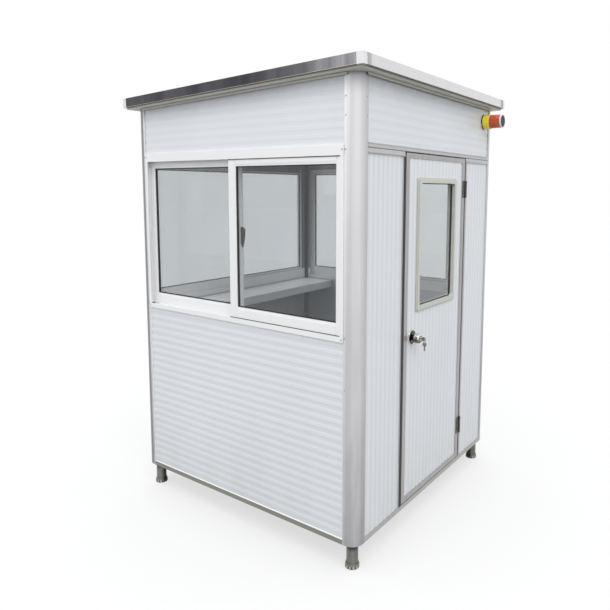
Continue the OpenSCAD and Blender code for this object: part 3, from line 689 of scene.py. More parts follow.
def eave(share: float, reach: float, colour: Colour = (0.20, 0.205, 0.235),
         line: float = EAVE_LINE) -> Layer:
    """Painted shade under the roof, from a line down."""
    return Layer(Groups.eave, share, colour, values=(("Reach", reach), ("Line", line)))


def ring(inner: float, outer: float, colour: Colour) -> Layer:
    """A dark ring about the axis of the knob."""
    return Layer(Groups.rings, 1.0, colour, values=(("Inner", inner), ("Outer", outer)))


def new_material(name: str) -> tuple[Material, Wiring, Node]:
    """A material with its shader in place.

    Args:
        name: its name.

    Returns:
        The material, the wiring of its tree and its shader node.
    """
    made = bpy.data.materials.new(name)
    made.use_nodes = True
    return made, Wiring(made.node_tree), made.node_tree.nodes["Principled BSDF"]


@dataclass(frozen=True)
class Finish:
    """A solid finish: its colours, gloss and grain, and the layers over them in order."""

    name: str
    base: Colour
    tone: Colour
    roughness: float = 0.4
    rough_spread: float = 0.08
    metallic: float = 0.0
    coat: float = 0.0
    specular: float = 0.5
    grain_scale: float = 30.0
    grain_along: Colour = (1.0, 1.0, 1.0)
    grain_mix: float = 0.5
    bump: float = 0.05
    even: float = 0.0
    layers: tuple[Layer, ...] = ()

    def material(self) -> Material:
        """Builds the material.

        Returns:
            The new material.
        """
        made, w, shader = new_material(self.name)
        shade, height = w.grain(self.grain_scale, self.grain_along)
        colour = w.mix(w.times(shade, self.grain_mix), self.base, self.tone)
        rough = w.spread(shade, (0.0, 1.0), (self.roughness - self.rough_spread,
                                             self.roughness + self.rough_spread))
        for layer in self.layers:
            cover = layer.cover(w)
            colour = w.mix(cover, colour, layer.colour)
            if layer.rough:
                rough = w.math("ADD", rough, w.times(cover, layer.rough))
        even = {"Normal": w.effect(Groups.even, Share=self.even)["Normal"]} if self.even else {}
        w.by_name(shader, {"Base Color": colour, "Roughness": rough, "Metallic": self.metallic,
                           "Coat Weight": self.coat, "Specular IOR Level": self.specular,
                           "Normal": w.bump(height, self.bump, **even)})
        return made


@dataclass(frozen=True)
class FasciaFinish:
    """Polished steel sheet: dark and streaked along front and rear as a painted reflection, pale along
    the two other edges.
    """

    name: str
    dark: Colour = (0.040, 0.040, 0.050)
    streak: Colour = (0.100, 0.100, 0.112)
    pale: Colour = (0.72, 0.72, 0.73)
    sheen_and_tone: Colour = (0.60, 0.60, 0.615)
    under: Colour = (0.46, 0.45, 0.40)
    streaks: float = 9.0
    streak_along: Colour = (1.0, 1.0, 0.06)
    brighten: Range = (0.25, 0.78)
    brighten_power: float = 1.7
    pale_wear: float = 0.15
    foot_fade: float = 0.0004
    gloss: Range = (0.16, 0.30)
    bump: float = 0.03
    metallic: float = 0.9

    def material(self) -> Material:
        """Builds the material: the painted dark steel brightens toward the door side as a painted
        highlight, and the flange below is matt.

        Returns:
            The new material.
        """
        made, w, shader = new_material(self.name)
        x, y, _ = w.axes(w.place())
        front = w.spread(w.less(w.math("ABSOLUTE", y), w.math("ABSOLUTE", x)), (-0.035, -0.030))
        shade, height = w.grain(self.streaks, self.streak_along)
        near = w.math("POWER", w.spread(x, self.brighten), self.brighten_power)
        bright = w.times(near, w.spread(shade, (0.1, 0.9), (0.25, 1.0)))
        steel = w.mix(bright, w.mix(shade, self.dark, self.streak), self.sheen_and_tone)
        coat = w.mix(w.times(shade, self.pale_wear), self.pale, self.sheen_and_tone)
        below = w.spread(w.roof_level(), (FASCIA_FOOT - self.foot_fade, FASCIA_FOOT + self.foot_fade),
                         (1.0, 0.0))
        w.by_name(shader, {"Base Color": w.mix(below, w.mix(front, coat, steel), self.under),
                           "Roughness": w.spread(shade, (0.0, 1.0), self.gloss),
                           "Metallic": self.metallic, "Normal": w.bump(height, self.bump)})
        return made


@dataclass(frozen=True)
class GlassFinish:
    """Grey glass that lets light through to what stands behind it."""

    name: str
    tint: Colour
    faded: float = 0.96
    roughness: Range = (0.01, 0.04)
    smears: float = 5.0
    smear_along: Colour = (1.0, 1.0, 0.4)
    bending: float = 1.45

    def material(self) -> Material:
        """Builds the material: glass to the eye, and clear to shadow and scattered light.

        Returns:
            The new material.
        """
        made, w, shader = new_material(self.name)
        smear, _ = w.grain(self.smears, self.smear_along)
        faded = tuple(self.faded * part for part in self.tint)
        w.by_name(shader, {"Base Color": w.mix(smear, self.tint, faded),
                           "Roughness": w.spread(smear, (0.2, 1.0), self.roughness),
                           "Transmission Weight": 1.0, "IOR": self.bending})
        path = w.node("LightPath").outputs
        light = w.most(path["Is Shadow Ray"], path["Is Diffuse Ray"])
        clear = w.node("BsdfTransparent")
        both = w.in_order(w.node("MixShader"), light, shader.outputs[0], clear.outputs[0])
        w.feed(made.node_tree.nodes["Material Output"].inputs["Surface"], both)
        return made


# Grey of the painted shade on the inner side of frames and columns
INSIDE_SHADE_GREY = (0.13, 0.15, 0.175)
UPRIGHT = (1.0, 1.0, 0.02)


class Finishes(Enum):
    """Every finish on the booth."""

    PANEL = Finish(
        "panel_coat", (0.80, 0.825, 0.855), (0.765, 0.79, 0.825), roughness=0.36, coat=0.15,
        grain_scale=2.5, grain_along=(1.0, 1.0, 0.4), grain_mix=0.7, bump=0.02, even=0.5,
        layers=(scuffs(0.06), grooves(0.16), inside_shade(0.5, (0.27, 0.33, 0.37), edge=0.7040),
                dust_and_shade(0.3, reach=0.75)))
    UPPER_PANEL = replace(
        PANEL, name="upper_panel_coat", even=0.7,
        layers=(scuffs(0.06), grooves(0.05), eave(0.6, reach=0.125)))
    SIDE_PANEL = replace(
        PANEL, name="side_panel_coat", base=(0.81, 0.83, 0.855), tone=(0.775, 0.795, 0.825),
        roughness=0.34, grain_along=(1.0, 1.0, 0.3), even=0.0,
        layers=(scuffs(0.08), grooves(0.22), dust_and_shade(0.3, reach=0.6)))
    DOOR_PANEL = replace(
        SIDE_PANEL, name="door_panel_coat",
        layers=(scuffs(0.08), grooves(0.22, face=0.7477), dust_and_shade(0.3, reach=0.6)))
    # Painted shade: the eave mask covers the roof's top face above its line, painting it darker than
    # the cream soffit so that it doesn't clip white under light from above
    ROOF = Finish(
        "roof_coat", (0.62, 0.61, 0.57), (0.56, 0.55, 0.50), roughness=0.45, grain_scale=6.0,
        grain_mix=0.8, bump=0.03,
        layers=(eave(0.9, reach=0.004, colour=(0.30, 0.30, 0.29), line=2.2640),))
    COLUMN = Finish(
        "column_anodised", (0.80, 0.80, 0.815), (0.71, 0.705, 0.72), roughness=0.34, metallic=0.6,
        grain_scale=45.0, grain_along=(1.0, 1.0, 0.012), grain_mix=0.8,
        # Painted shade on the column's inner side
        layers=(scuffs(0.12), inside_shade(0.85, INSIDE_SHADE_GREY, edge=0.712),
                # Painted shade in bands up the column's sides
                Layer(Groups.column_shade, 0.8, (0.13, 0.125, 0.15)),
                # Painted shade: the column darkens toward its foot, in place of the dark ground a satin
                # column mirrors; then painted eave shade
                dust_and_shade(1.0, reach=2.4, colour=(0.27, 0.265, 0.275)), eave(0.95, reach=0.1)))
    RAIL = Finish(
        "rail_mill", (0.24, 0.24, 0.21), (0.19, 0.19, 0.165), roughness=0.42, metallic=0.55,
        grain_scale=40.0, grain_along=(0.1, 0.1, 1.0),
        # Painted light: the rails along the door wall and the wall across are painted paler, after the
        # brighter lit door side
        layers=(scuffs(0.2), Layer(Groups.grooves, 0.8, (0.50, 0.50, 0.48), "Side"), dust_and_shade(0.3)))
    LEG = Finish(
        "leg_brushed", (0.22, 0.223, 0.198), (0.10, 0.102, 0.088), roughness=0.3, metallic=0.75,
        grain_scale=40.0, grain_along=(1.0, 1.0, 0.1), grain_mix=0.9, bump=0.1,
        layers=(scuffs(0.3), Layer(Groups.legs, 0.75, (0.50, 0.50, 0.47), "Rim"),
                Layer(Groups.legs, 0.97, (0.004, 0.004, 0.004), "Shade"), dust_and_shade(0.15, reach=0.12)))
    WINDOW = Finish(
        "window_coat", (0.90, 0.905, 0.91), (0.885, 0.89, 0.895), roughness=0.32, rough_spread=0.015,
        coat=0.1, grain_scale=25.0, grain_mix=0.35, bump=0.01,
        # Painted shade on the frames' inner side, weaker on the sills below 1.15 m, which stay light as
        # if lit
        layers=(inside_shade(0.9, INSIDE_SHADE_GREY, above=1.15),))
    DOOR_ALU = Finish(
        "door_anodised", (0.44, 0.425, 0.435), (0.34, 0.325, 0.33), roughness=0.34, metallic=0.6,
        grain_scale=60.0, grain_along=UPRIGHT, grain_mix=0.8, bump=0.04,
        layers=(scuffs(0.1), dust_and_shade(0.2)))
    JAMB = Finish(
        "jamb_anodised", (0.52, 0.52, 0.53), (0.44, 0.44, 0.45), roughness=0.34, metallic=0.6,
        grain_scale=60.0, grain_along=UPRIGHT, bump=0.03,
        layers=(dust_and_shade(0.2),))
    TRANSOM = Finish(
        "transom_anodised", (0.55, 0.55, 0.565), (0.47, 0.47, 0.485), roughness=0.34, metallic=0.6,
        grain_scale=60.0, grain_along=(1.0, 0.02, 1.0), bump=0.04)
    LITE = Finish(
        "lite_moulding", (0.62, 0.63, 0.575), (0.57, 0.58, 0.525), roughness=0.42, grain_scale=50.0,
        bump=0.06,
        layers=(scuffs(0.1),))
    LATCH = Finish(
        "latch_black", (0.03, 0.03, 0.032), (0.05, 0.05, 0.05), roughness=0.38, grain_scale=60.0,
        bump=0.08)
    HINGE = Finish(
        "hinge_dark", (0.13, 0.125, 0.11), (0.08, 0.075, 0.065), roughness=0.34, metallic=0.8,
        grain_scale=80.0, bump=0.08,
        layers=(scuffs(0.3),))
    FASCIA = FasciaFinish("fascia_polished")
    CAP = Finish("cap_moulding", (0.84, 0.84, 0.84), (0.80, 0.80, 0.80), grain_scale=70.0, bump=0.12)
    DESK = Finish(
        "desk_laminate", (0.78, 0.80, 0.81), (0.70, 0.72, 0.73), roughness=0.34, grain_scale=20.0,
        grain_along=(1.0, 0.1, 1.0), grain_mix=0.7, bump=0.02)
    FLOOR = Finish(
        "floor_vinyl", (0.24, 0.25, 0.255), (0.17, 0.18, 0.185), roughness=0.5, grain_scale=35.0,
        grain_mix=0.9)
    RUBBER = Finish(
        "seal_rubber", (0.022, 0.022, 0.024), (0.035, 0.035, 0.035), roughness=0.62, grain_scale=70.0,
        bump=0.1)
    YELLOW = Finish(
        "beacon_yellow", (0.93, 0.82, 0.065), (0.85, 0.74, 0.055), roughness=0.3, coat=0.3,
        grain_scale=25.0, bump=0.03)
    LENS = Finish(
        "beacon_orange", (0.55, 0.075, 0.018), (0.66, 0.13, 0.03), roughness=0.18, coat=0.5,
        grain_scale=25.0, bump=0.02)
    DARK = Finish(
        "beacon_dark", (0.03, 0.024, 0.04), (0.05, 0.042, 0.06), roughness=0.45, specular=0.2,
        bump=0.04)
    CHROME = Finish(
        "knob_polished", (0.78, 0.77, 0.74), (0.60, 0.59, 0.56), roughness=0.12, rough_spread=0.05,
        metallic=1.0, grain_scale=50.0, bump=0.02,
        # Painted reflection of a dark ground on the faces that look down
        layers=(scuffs(0.1), Layer(Groups.ground, 0.9, (0.13, 0.11, 0.08)),
                ring(0.010, 0.0165, (0.05, 0.048, 0.045))))
    ROSETTE = Finish(
        "rosette_polished", (0.62, 0.61, 0.58), (0.48, 0.47, 0.44), roughness=0.14, rough_spread=0.05,
        metallic=1.0, grain_scale=50.0, bump=0.02,
        # The dark ring over most of the rosette is a painted reflection of dark surroundings
        layers=(scuffs(0.1), ring(0.010, 0.0362, (0.07, 0.066, 0.06))))
    KEY = Finish(
        "key_nickel", (0.34, 0.325, 0.29), (0.24, 0.23, 0.20), roughness=0.26, metallic=1.0,
        grain_scale=90.0)
    SCREW = Finish(
        "screw_zinc", (0.42, 0.42, 0.42), (0.32, 0.32, 0.32), roughness=0.32, metallic=0.9,
        grain_scale=90.0)
    GRIP = Finish(
        "grip_black", (0.012, 0.012, 0.014), (0.10, 0.10, 0.095), roughness=0.22, metallic=0.25,
        grain_scale=160.0, grain_mix=0.9, bump=0.1)
    # Dark grey of the strips under the fascia: painted shade for the shadow gap there
    DRIP_SHADE = Finish(
        "drip_shade_grey", (0.33, 0.32, 0.29), (0.38, 0.37, 0.34), roughness=0.7, grain_scale=80.0, bump=0.15)
    SEALANT = Finish(
        "sealant_white", (0.84, 0.85, 0.86), (0.80, 0.81, 0.82), roughness=0.5, grain_scale=45.0,
        bump=0.1)
    GLASS = GlassFinish("float_glass", (0.71, 0.735, 0.745))

    @cached_property
    def built(self) -> Material:
        """The finish's material, built on its first use."""
        return self.value.material()


# Sashes and window frames take the window finish, and boards that aren't named here the panel one
FINISH_NODES: dict[Finishes, str] = {
    Finishes.LEG: "legs", Finishes.RAIL: "bottom_rails", Finishes.COLUMN: "corner_columns",
    Finishes.SIDE_PANEL: "latch_side_panel hinge_side_panel", Finishes.DOOR_PANEL: "door_panel",
    Finishes.UPPER_PANEL: "front_upper_panel left_upper_panel rear_upper_panel door_side_upper_panel",
    Finishes.ROOF: "roof_panel", Finishes.FLOOR: "floor_panel", Finishes.DESK: "desk_shelf",
    Finishes.GLASS: "window_glass door_window_glass", Finishes.LATCH: "window_latches",
    Finishes.TRANSOM: "transom_rail", Finishes.JAMB: "latch_jamb",
    Finishes.DOOR_ALU: "hinge_jamb door_edge_frame", Finishes.LITE: "door_window_frame",
    Finishes.HINGE: "jamb_hinge_leaves door_hinge_leaves", Finishes.FASCIA: "roof_fascia",
    Finishes.CAP: "roof_corner_caps", Finishes.RUBBER: "beacon_gasket", Finishes.YELLOW: "beacon_base",
    Finishes.LENS: "beacon_lens", Finishes.DARK: "beacon_cap", Finishes.ROSETTE: "door_rosettes",
    Finishes.CHROME: "latch_bolt door_knob", Finishes.KEY: "door_keys",
}


def dress_nodes(nodes: dict[str, bpy.types.Object]) -> None:
    """Gives every solid its finish.

    Args:
        nodes: the solids by name.
    """
    by_name = {name: finish for finish, names in FINISH_NODES.items() for name in names.split()}
    for name, node in nodes.items():
        usual = Finishes.WINDOW if name.endswith(("_sash", "_window_frame")) else Finishes.PANEL
        finish = by_name.get(name, usual)
        node.data.materials.clear()
        node.data.materials.append(finish.built)
        LOG.info("%s: %s", name, finish.name)


# Sub-assemblies


@dataclass
class Booth:
    """Where the wall box stands, from the rails at its foot."""

    middle: np.ndarray
    half: float

    @classmethod
    def measured(cls) -> "Booth":
        """Reads the place and size of the wall box from its rails."""
        return cls(MIDDLE_X * X, (RAIL_HIGH.x - RAIL_LOW.x) / 2)

    def on_walls(self, target: Surface, part: Surface, *walls: Wall) -> None:
        """Adds a part that is built at the front of a booth about the origin, turned to each wall.

        Args:
            target: the surface to add to.
            part: the part.
            walls: the walls it goes to.
        """
        for wall in walls:
            target.add(part, turn_about_z(wall.value), self.middle)

    def screw(self, head: Surface, x: float, out: float, z: float) -> Surface:
        """A screw on the front wall, with its head turned to the front."""
        return Surface().add(head, turn_about_z(-90), np.array([x, -out - SEAT, z]))


@dataclass
class SlidingWindows:
    """Gaskets, weather strips, screws and latch grips of the three sliding windows."""

    booth: Booth
    sash_end: float = 0.6724
    meeting: float = 0.024
    side_stile: float = 0.038
    glass_low: float = 1.158
    glass_high: float = 1.858
    outer_face: float = 0.7507
    inner_face: float = 0.7237
    sash_thick: float = 0.0244
    glass_half: float = 0.0025
    frame_out: float = 0.754
    bead: float = 0.005
    bead_lap: float = 0.0004
    pile: Point = (0.0026, 0.0034, 0.0008)
    pile_heights: Range = (1.1019, 1.8911)
    pile_out: float = 0.0016
    pile_short: float = 0.016
    screw: Range = (0.0042, 0.0018)
    screws_at: tuple[Range, ...] = ((FLANGE_MIDDLE, 1.918), (FLANGE_MIDDLE, 1.096), (0.667, 1.918),
                                    (0.667, 1.087))
    latch_middle: float = 1.504
    grip_height: float = 0.094
    grip_root: float = 0.010
    grip_bulge: float = 0.0145
    grip_sweep: float = 1.9
    grip_foot: float = 0.004
    grip_thick: float = 0.012
    grip_taper: float = 0.75
    horn_wide: float = 0.0022
    horn_from: float = 0.3
    horn_power: float = 1.6

    def gaskets(self) -> None:
        """Rubber beads round both faces of each pane."""
        made = Surface()
        end = self.sash_end - self.side_stile
        panes = ((self.meeting, end, self.outer_face), (-end, -self.meeting, self.inner_face))
        for low, high, face in panes:
            for bead in pane_beads(self.bead, self.bead_lap, (low, self.glass_low),
                                   (high, self.glass_high), face - self.sash_thick / 2,
                                   self.glass_half + SEAT):
                self.booth.on_walls(made, bead, *WINDOW_WALLS)
        made.piece("window_gaskets", Finishes.RUBBER, Body.BOOTH, "black_rubber")

    def weather_strips(self) -> None:
        """Pile strips along the head and sill, where the outer sash runs in its track."""
        made = Surface()
        run = (self.meeting + self.sash_end - self.pile_short) * X
        for z in self.pile_heights:
            start = np.array([-self.meeting, -self.outer_face - self.pile_out, z])
            strip = straight_strip(rounded(*self.pile), start, start + run, Y, Z)
            self.booth.on_walls(made, strip, *WINDOW_WALLS)
        made.piece("window_weather_strips", Finishes.RUBBER, Body.BOOTH, "black_rubber")

    def screws(self) -> None:
        """Screws that hold the frame ends to the columns, some in the frame and some in the flange."""
        made, head = Surface(), screw_head(*self.screw)
        for side in (-1, 1):
            for x, z in self.screws_at:
                out = self.booth.half if x > FLANGE_TIP else self.frame_out
                self.booth.on_walls(made, self.booth.screw(head, side * x, out, z), *WINDOW_WALLS)
        made.piece("window_screws", Finishes.SCREW, Body.BOOTH, "hinge_steel", smooth=True)

    def latch_grips(self) -> None:
        """Crescent grips on the latches: an ellipse carried up between two edges that lean to one side.

        The outer edge follows a sine of the height. The inner edge leaves the plate and runs up to a
        horn as a power of the height, and the thickness tapers as a fourth power toward both ends.
        """
        rise = np.linspace(0.0, 1.0, 25)[:, None]
        angle = np.linspace(0.0, 2 * math.pi, 16, endpoint=False)
        outer = self.grip_root + self.grip_bulge * np.sin(self.grip_sweep * rise)
        horn = outer[-1, 0] - self.horn_wide - self.grip_foot
        climb = np.clip((rise - self.horn_from) / (1.0 - self.horn_from), 0.0, 1.0)
        inner = self.grip_foot + horn * climb ** self.horn_power
        deep = self.grip_thick / 2 * np.sqrt(1.0 - self.grip_taper * (2.0 * rise - 1.0) ** 4)
        across = self.meeting + (outer + inner) / 2 + (outer - inner) / 2 * np.cos(angle)
        depth = -(self.inner_face - self.sash_thick / 2) + deep * np.sin(angle)
        height = self.latch_middle + self.grip_height * (rise - 0.5) + 0.0 * angle
        made = Surface()
        grip = Surface().grid(np.stack([across, depth, height], axis=-1))
        self.booth.on_walls(made, grip, *WINDOW_WALLS)
        made.piece("latch_grips", Finishes.GRIP, Body.BOOTH, "black_rubber", smooth=True)

    def build(self) -> None:
        """Makes every piece of the windows."""
        self.gaskets()
        self.weather_strips()
        self.screws()
        self.latch_grips()


@dataclass
class WallTrim:
    """Sealant round the lower panels, and the rivets in the columns."""

    booth: Booth
    rail_top: float = 0.149
    sill: float = 1.075
    fillet: tuple[Range, ...] = ((0.0, 0.0), (-0.0042, 0.0), (-0.0026, 0.0014), (-0.0010, 0.0026),
                                 (0.0, 0.0031))
    rivet: Range = (0.0036, 0.0013)
    rivet_heights: tuple[float, ...] = (0.22, 0.52, 0.86, 2.06, 2.14)

    def sealant(self) -> None:
        """Fillets of sealant between each lower panel and the flanges, rail and sill beside it."""
        made = Surface()
        fillet = ring_strip(np.array(self.fillet), (-FLANGE_TIP, self.rail_top),
                            (FLANGE_TIP, self.sill), PANEL_FACE + SEAT)
        self.booth.on_walls(made, fillet, *WINDOW_WALLS)
        made.piece("panel_sealant", Finishes.SEALANT, Body.BOOTH, "panel_skin")

    def rivets(self) -> None:
        """Blind rivets up the flanges of the columns."""
        made, head = Surface(), screw_head(*self.rivet)
        for wall in Wall:
            for side in (-1, 1):
                for z in self.rivet_heights:
                    rivet = self.booth.screw(head, side * FLANGE_MIDDLE, self.booth.half, z)
                    self.booth.on_walls(made, rivet, wall)
        made.piece("column_rivets", Finishes.SCREW, Body.BOOTH, "hinge_steel", smooth=True)

    def build(self) -> None:
        """Makes every piece of the wall trim."""
        self.sealant()
        self.rivets()


@dataclass
class Doorway:
    """Seals in the gaps round the leaf, beads on the transom, and the screws of the hinges."""

    booth: Booth
    low: float = 0.1498
    high: float = 1.9035
    door_top: float = 1.929
    stop_face: float = 0.7054
    upright_gaps: tuple[Range, Range] = ((-0.3518, -0.3395), (0.3435, 0.3545))
    upright_seal: Range = (0.0045, 0.0015)
    upright_out: float = 0.0025
    level_gaps: tuple[Range, Range] = ((0.1493, 0.1625), (1.9045, 1.9288))
    level_seal: Range = (0.009, 0.002)
    level_at: float = 0.7035
    level_ends: Range = (-0.351, 0.354)
    lip: Point = (0.011, 0.0022, 0.001)
    lip_out: float = 0.0012
    lip_y: float = -0.3565
    bead: Point = (0.004, 0.005, 0.0018)
    bead_out: float = 0.0015
    bead_rises: Range = (0.0035, 0.0185)
    side_bead_drop: float = 0.0205
    joint: Point = (0.0014, 0.0014, 0.0005)
    joint_out: float = 0.0004
    joint_drop: float = 0.0005
    transom_reach: float = 0.6755
    transom_ends: Range = (-0.353, 0.356)
    hinge_screw: Range = (0.0032, 0.0012)
    hinge_face: float = 0.7528
    hinge_y: float = 0.3485
    hinge_heights: Range = (0.350, 1.752)
    hinge_pitch: float = 0.034
    jamb_offset: float = 0.0145
    leaf_offset: float = -0.0215
    lite_bead: Range = (0.0045, 0.0003)
    lite_low: Range = (-0.191, 1.157)
    lite_high: Range = (0.207, 1.782)
    lite_glass: float = 0.7310
    lite_off: float = 0.0026

    def place(self, x: float, y: float, z: float) -> np.ndarray:
        """A point of the door wall, moved with the wall box."""
        return self.booth.middle + np.array([x, y, z])

    def upright(self, section: np.ndarray, x: float, y: float) -> Surface:
        """A strip up the doorway, from its foot to its head."""
        return straight_strip(section, self.place(x, y, self.low), self.place(x, y, self.high), Y, X)

    def level(self, size: Point, out: float, ends: Range, z: float) -> Surface:
        """A level strip with a rounded section, from one end to the other."""
        start, end = (self.place(out, y, z) for y in ends)
        return straight_strip(rounded(*size), start, end, X, Z)

    def seals(self) -> None:
        """Rubber strips: upright in the gaps beside the leaf, level at its head and foot, and a lip
        beside the latch gap whose black is partly painted shade.
        """
        made = Surface()
        for near, far in self.upright_gaps:
            section = rounded(far - near, *self.upright_seal) + np.array([0.0, self.upright_out])
            made.add(self.upright(section, self.stop_face, (near + far) / 2))
        wide, round_by = self.level_seal
        for low, high in self.level_gaps:
            size = (wide, high - low, round_by)
            made.add(self.level(size, self.level_at, self.level_ends, (low + high) / 2))
        made.add(self.upright(rounded(*self.lip), self.booth.half + self.lip_out, self.lip_y))
        made.piece("doorway_seals", Finishes.RUBBER, Body.BOOTH, "black_rubber")

    def transom_beads(self) -> None:
        """Slim raised beads along the transom and beside the leaf's head, with dark joints."""
        beads, joints = Surface(), Surface()
        reach, out = self.transom_reach, self.booth.half + self.bead_out
        for rise in self.bead_rises:
            beads.add(self.level(self.bead, out, (-reach, reach), self.door_top + rise))
        for ends in ((-reach, self.transom_ends[0]), (self.transom_ends[1], reach)):
            beads.add(self.level(self.bead, out, ends, self.door_top - self.side_bead_drop))
            joints.add(self.level(self.joint, self.booth.half + self.joint_out, ends,
                                  self.door_top - self.joint_drop))
        beads.piece("transom_beads", Finishes.JAMB, Body.BOOTH, "door_aluminium")
        joints.piece("transom_joints", Finishes.RUBBER, Body.BOOTH, "black_rubber")

    def hinge_screws(self) -> None:
        """Screws in the hinge plates, on the jamb and on the leaf."""
        head = screw_head(*self.hinge_screw)
        for name, body, offset in (("jamb_hinge_screws", Body.BOOTH, self.jamb_offset),
                                   ("leaf_hinge_screws", Body.DOOR, self.leaf_offset)):
            made = Surface()
            for z in self.hinge_heights:
                for step in (-1, 0, 1):
                    at = self.place(self.hinge_face, self.hinge_y + offset, z + step * self.hinge_pitch)
                    made.add(head, move=at)
            made.piece(name, Finishes.SCREW, body, "hinge_steel", smooth=True)

    def lite_gasket(self) -> None:
        """Rubber beads round the glass of the door window, on both of its faces."""
        made = Surface()
        for bead in pane_beads(*self.lite_bead, self.lite_low, self.lite_high, self.lite_glass,
                               self.lite_off):
            self.booth.on_walls(made, bead, Wall.DOOR)
        made.piece("door_window_gasket", Finishes.RUBBER, Body.DOOR, "black_rubber")

    def build(self) -> None:
        """Makes every piece of the doorway."""
        self.seals()
        self.transom_beads()
        self.hinge_screws()
        self.lite_gasket()


@dataclass
class RoofTrim:
    """Slits where the corner caps meet the fascia, dark strips under it as painted shade, and mouldings
    on the walls.
    """

    booth: Booth
    size: float = 1.6
    fall: float = 0.06
    top: float = 2.3
    cap: float = 0.0323
    fascia: float = 0.048
    slit: Point = (0.0022, 0.0011, 0.0004)
    slit_inset: float = 0.0008
    slit_short: float = 0.0006
    shade_strip: Point = (0.004, 0.003, 0.001)
    shade_strip_inset: float = 0.016
    shade_strip_out: float = 0.0024
    shade_strip_drop: float = 0.0018
    soffit: float = 0.0587
    wall: float = 0.7508
    moulding: Point = (0.009, 0.010, 0.002)
    moulding_reach: float = 0.690
    moulding_gap: float = 0.0008

    def all_round(self, *strips: Surface) -> Surface:
        """Strips of the front edge on all four edges, tipped by the pitch about the high edge.

        Along the roof, points are laid out by the cosine and sine of its pitch.

        Args:
            strips: the strips about the middle of the roof, with z from its top.

        Returns:
            The strips in the frame.
        """
        half = self.size / 2
        tip = np.array(Matrix.Rotation(-math.asin(self.fall / self.size), 3, "Y"))
        level = Surface()
        for turn in (0.0, 90.0, 180.0, 270.0):
            for strip in strips:
                level.add(strip, turn_about_z(turn), -half * X)
        return Surface().add(level, tip, self.booth.middle + half * X + self.top * Z)

    def along_edge(self, size: Point, reach: float, out: float, level: float) -> Surface:
        """A level strip along the front edge, as far each way from its middle."""
        start = np.array([-reach, -out, level])
        return straight_strip(rounded(*size), start, start * [-1, 1, 1], Y, Z)

    def slits(self) -> None:
        """One slit at each end of the four fascias: a flat strip with rounded edges, stood on end."""
        strips = []
        for end in (-1.0, 1.0):
            foot = np.array([end * (self.size / 2 - self.cap - self.slit_inset), -self.size / 2,
                             -self.fascia + self.slit_short])
            head = foot + (self.fascia - 2 * self.slit_short) * Z
            strips.append(straight_strip(rounded(*self.slit), foot, head, X, Y))
        self.all_round(*strips).piece("fascia_slits", Finishes.RUBBER, Body.BOOTH, "black_rubber")

    def drip_shade_strips(self) -> None:
        """Dark strips in the angle under the fascia, against the edge of the soffit board: painted
        shade for the shadow gap there.
        """
        reach = self.size / 2 - self.shade_strip_inset
        strip = self.along_edge(self.shade_strip, reach, reach + self.shade_strip_out, -self.fascia - self.shade_strip_drop)
        self.all_round(strip).piece("drip_shade_strips", Finishes.DRIP_SHADE, Body.BOOTH, "black_rubber")

    def mouldings(self) -> None:
        """Pale strips along the heads of the walls, a shadow gap below the soffit."""
        deep, high, _ = self.moulding
        strip = self.along_edge(self.moulding, self.moulding_reach, self.wall + deep / 2,
                                -self.soffit - self.moulding_gap - high / 2)
        self.all_round(strip).piece("eave_mouldings", Finishes.ROOF, Body.BOOTH, "panel_skin")

    def build(self) -> None:
        """Makes every piece of the roof trim."""
        self.slits()
        self.drip_shade_strips()
        self.mouldings()


@dataclass
class BeaconTrim:
    """The pale rim at the end of the lens and the bead on the base."""

    steps: int = 48
    round_by: float = 0.0014
    rim_radius: float = 0.0368
    rim_wide: float = 0.0078
    rim_out: float = 0.0028
    bead_radius: float = 0.0415
    bead_wide: float = 0.0050
    bead_back: float = 0.0035

    def ring(self, radius: float, wide: float, middle: np.ndarray) -> Surface:
        """A ring about X with a rounded square section, turned round its middle."""
        section = rounded(wide, wide, self.round_by) + np.array([radius, 0.0])
        return Surface().add(turned(section, self.steps), move=middle)

    def build(self) -> None:
        """Makes the rings that stand on the lens end and on the front edge of the base."""
        low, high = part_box("beacon_lens")
        axis = np.array((low + high) / 2) * (Y + Z)
        rim = self.ring(self.rim_radius, self.rim_wide, axis + (high.x + self.rim_out) * X)
        rim.piece("beacon_rim", Finishes.CAP, Body.BOOTH, "cap_plastic", smooth=True)
        bead = self.ring(self.bead_radius, self.bead_wide, axis + (low.x - self.bead_back) * X)
        bead.piece("beacon_bead", Finishes.YELLOW, Body.BOOTH, "yellow_plastic", smooth=True)


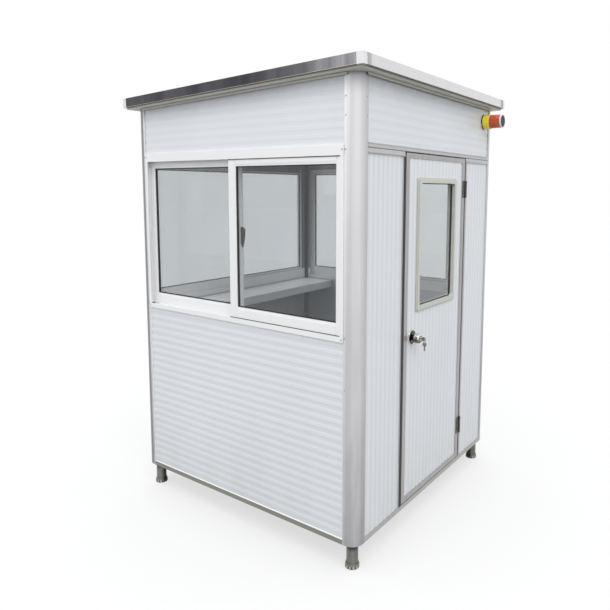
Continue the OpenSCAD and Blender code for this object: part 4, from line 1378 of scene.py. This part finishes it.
@dataclass
class Studio:
    """Floor, light and camera."""

    booth: Booth
    focal: float = 584.5
    centre: Range = (345.2, 255.6)
    eye: Point = (2.127, -2.809, 1.748)
    spin: Point = (1.45803, -0.00539, 0.61181)
    frame: float = 610.0
    sensor: float = 36.0
    clip: Range = (0.05, 200.0)
    light: Range = (0.50, 1.90)
    light_colour: Colour = (0.98, 0.99, 1.0)
    ground: Colour = (0.25, 0.25, 0.25)
    ground_half: float = 40.0
    ground_roughness: float = 0.9
    ground_specular: float = 0.1
    ground_glow: float = 0.64
    lamps: tuple[tuple[str, Point, Point, float, float], ...] = (
        ("key_lamp", (3.4, -3.2, 6.0), (0.3, -0.3, 1.0), 3.0, 90.0),
        ("front_lamp", (-1.5, -6.0, 3.5), (-0.1, -0.7, 1.1), 4.0, 30.0))

    def seen(self, w: Wiring) -> Socket:
        """A mask of the rays that show the ground: straight, off metal or through glass."""
        path = w.node("LightPath").outputs
        return w.most(path["Is Camera Ray"], path["Is Transmission Ray"], path["Is Glossy Ray"])

    def floor(self) -> None:
        """A wide pale floor that shows the shadow under the booth."""
        mesh = bpy.data.meshes.new("studio_floor")
        corner = np.array([[-1, -1, 0], [1, -1, 0], [1, 1, 0], [-1, 1, 0]]) * self.ground_half
        mesh.from_pydata(corner.tolist(), [], [[0, 1, 2, 3]])
        made = bpy.data.objects.new("studio_floor", mesh)
        bpy.context.scene.collection.objects.link(made)
        material, w, shader = new_material("studio_floor")
        w.by_name(shader, {"Base Color": self.ground, "Roughness": self.ground_roughness,
                           "Specular IOR Level": self.ground_specular,
                           "Emission Color": (1.0, 1.0, 1.0),
                           "Emission Strength": w.times(self.seen(w), self.ground_glow)})
        mesh.materials.append(material)

    def sky(self) -> None:
        """Soft light that grows from the horizon to the zenith, with plain white behind the booth."""
        world = bpy.data.worlds.new("studio")
        bpy.context.scene.world = world
        world.use_nodes = True
        world.node_tree.nodes.clear()
        w = Wiring(world.node_tree)
        rise = w.axes(w.node("TexCoord").outputs["Generated"])[2]
        power = w.spread(rise, (0.0, 1.0), self.light)
        light = w.in_order(w.node("Background"), self.light_colour, power)
        white = w.in_order(w.node("Background"), (1.0, 1.0, 1.0), 1.0)
        both = w.in_order(w.node("MixShader"), self.seen(w), light, white)
        w.feed(w.node("OutputWorld").inputs[0], both)

    def lamp(self, name: str, place: Point, aim: Point, size: float, power: float) -> None:
        """A soft square lamp.

        Args:
            name: its name.
            place: where it hangs.
            aim: the point that it faces.
            size: its width.
            power: its power in watts.
        """
        light = bpy.data.lights.new(name, "AREA")
        light.shape, light.size, light.energy = "SQUARE", size, power
        made = bpy.data.objects.new(name, light)
        bpy.context.scene.collection.objects.link(made)
        made.location = place
        made.rotation_euler = (Vector(aim) - Vector(place)).to_track_quat("-Z", "Y").to_euler()

    def camera(self) -> None:
        """The camera of the photograph, with its middle shifted as the picture was cut."""
        data = bpy.data.cameras.new("camera")
        made = bpy.data.objects.new("camera", data)
        bpy.context.scene.collection.objects.link(made)
        data.sensor_fit, data.sensor_width = "HORIZONTAL", self.sensor
        data.lens = self.focal / self.frame * data.sensor_width
        data.shift_x = (self.frame / 2 - self.centre[0]) / self.frame
        data.shift_y = (self.centre[1] - self.frame / 2) / self.frame
        data.clip_start, data.clip_end = self.clip
        made.location = Vector(self.eye) + Vector(self.booth.middle)
        made.rotation_euler = self.spin
        bpy.context.scene.camera = made

    def build(self) -> None:
        """Sets up the whole studio."""
        self.floor()
        self.sky()
        for lamp in self.lamps:
            self.lamp(*lamp)
        self.camera()


def main() -> None:
    """Dresses the booth, piece by piece, and sets up its studio."""
    logging.basicConfig(level=logging.INFO, format="%(name)s %(message)s")
    booth = Booth.measured()
    dress_nodes(frame["nodes"])
    SlidingWindows(booth).build()
    WallTrim(booth).build()
    Doorway(booth).build()
    RoofTrim(booth).build()
    BeaconTrim().build()
    Studio(booth).build()
    scene = bpy.context.scene
    scene.view_settings.view_transform = "Standard"


if __name__ == "__main__":
    main()
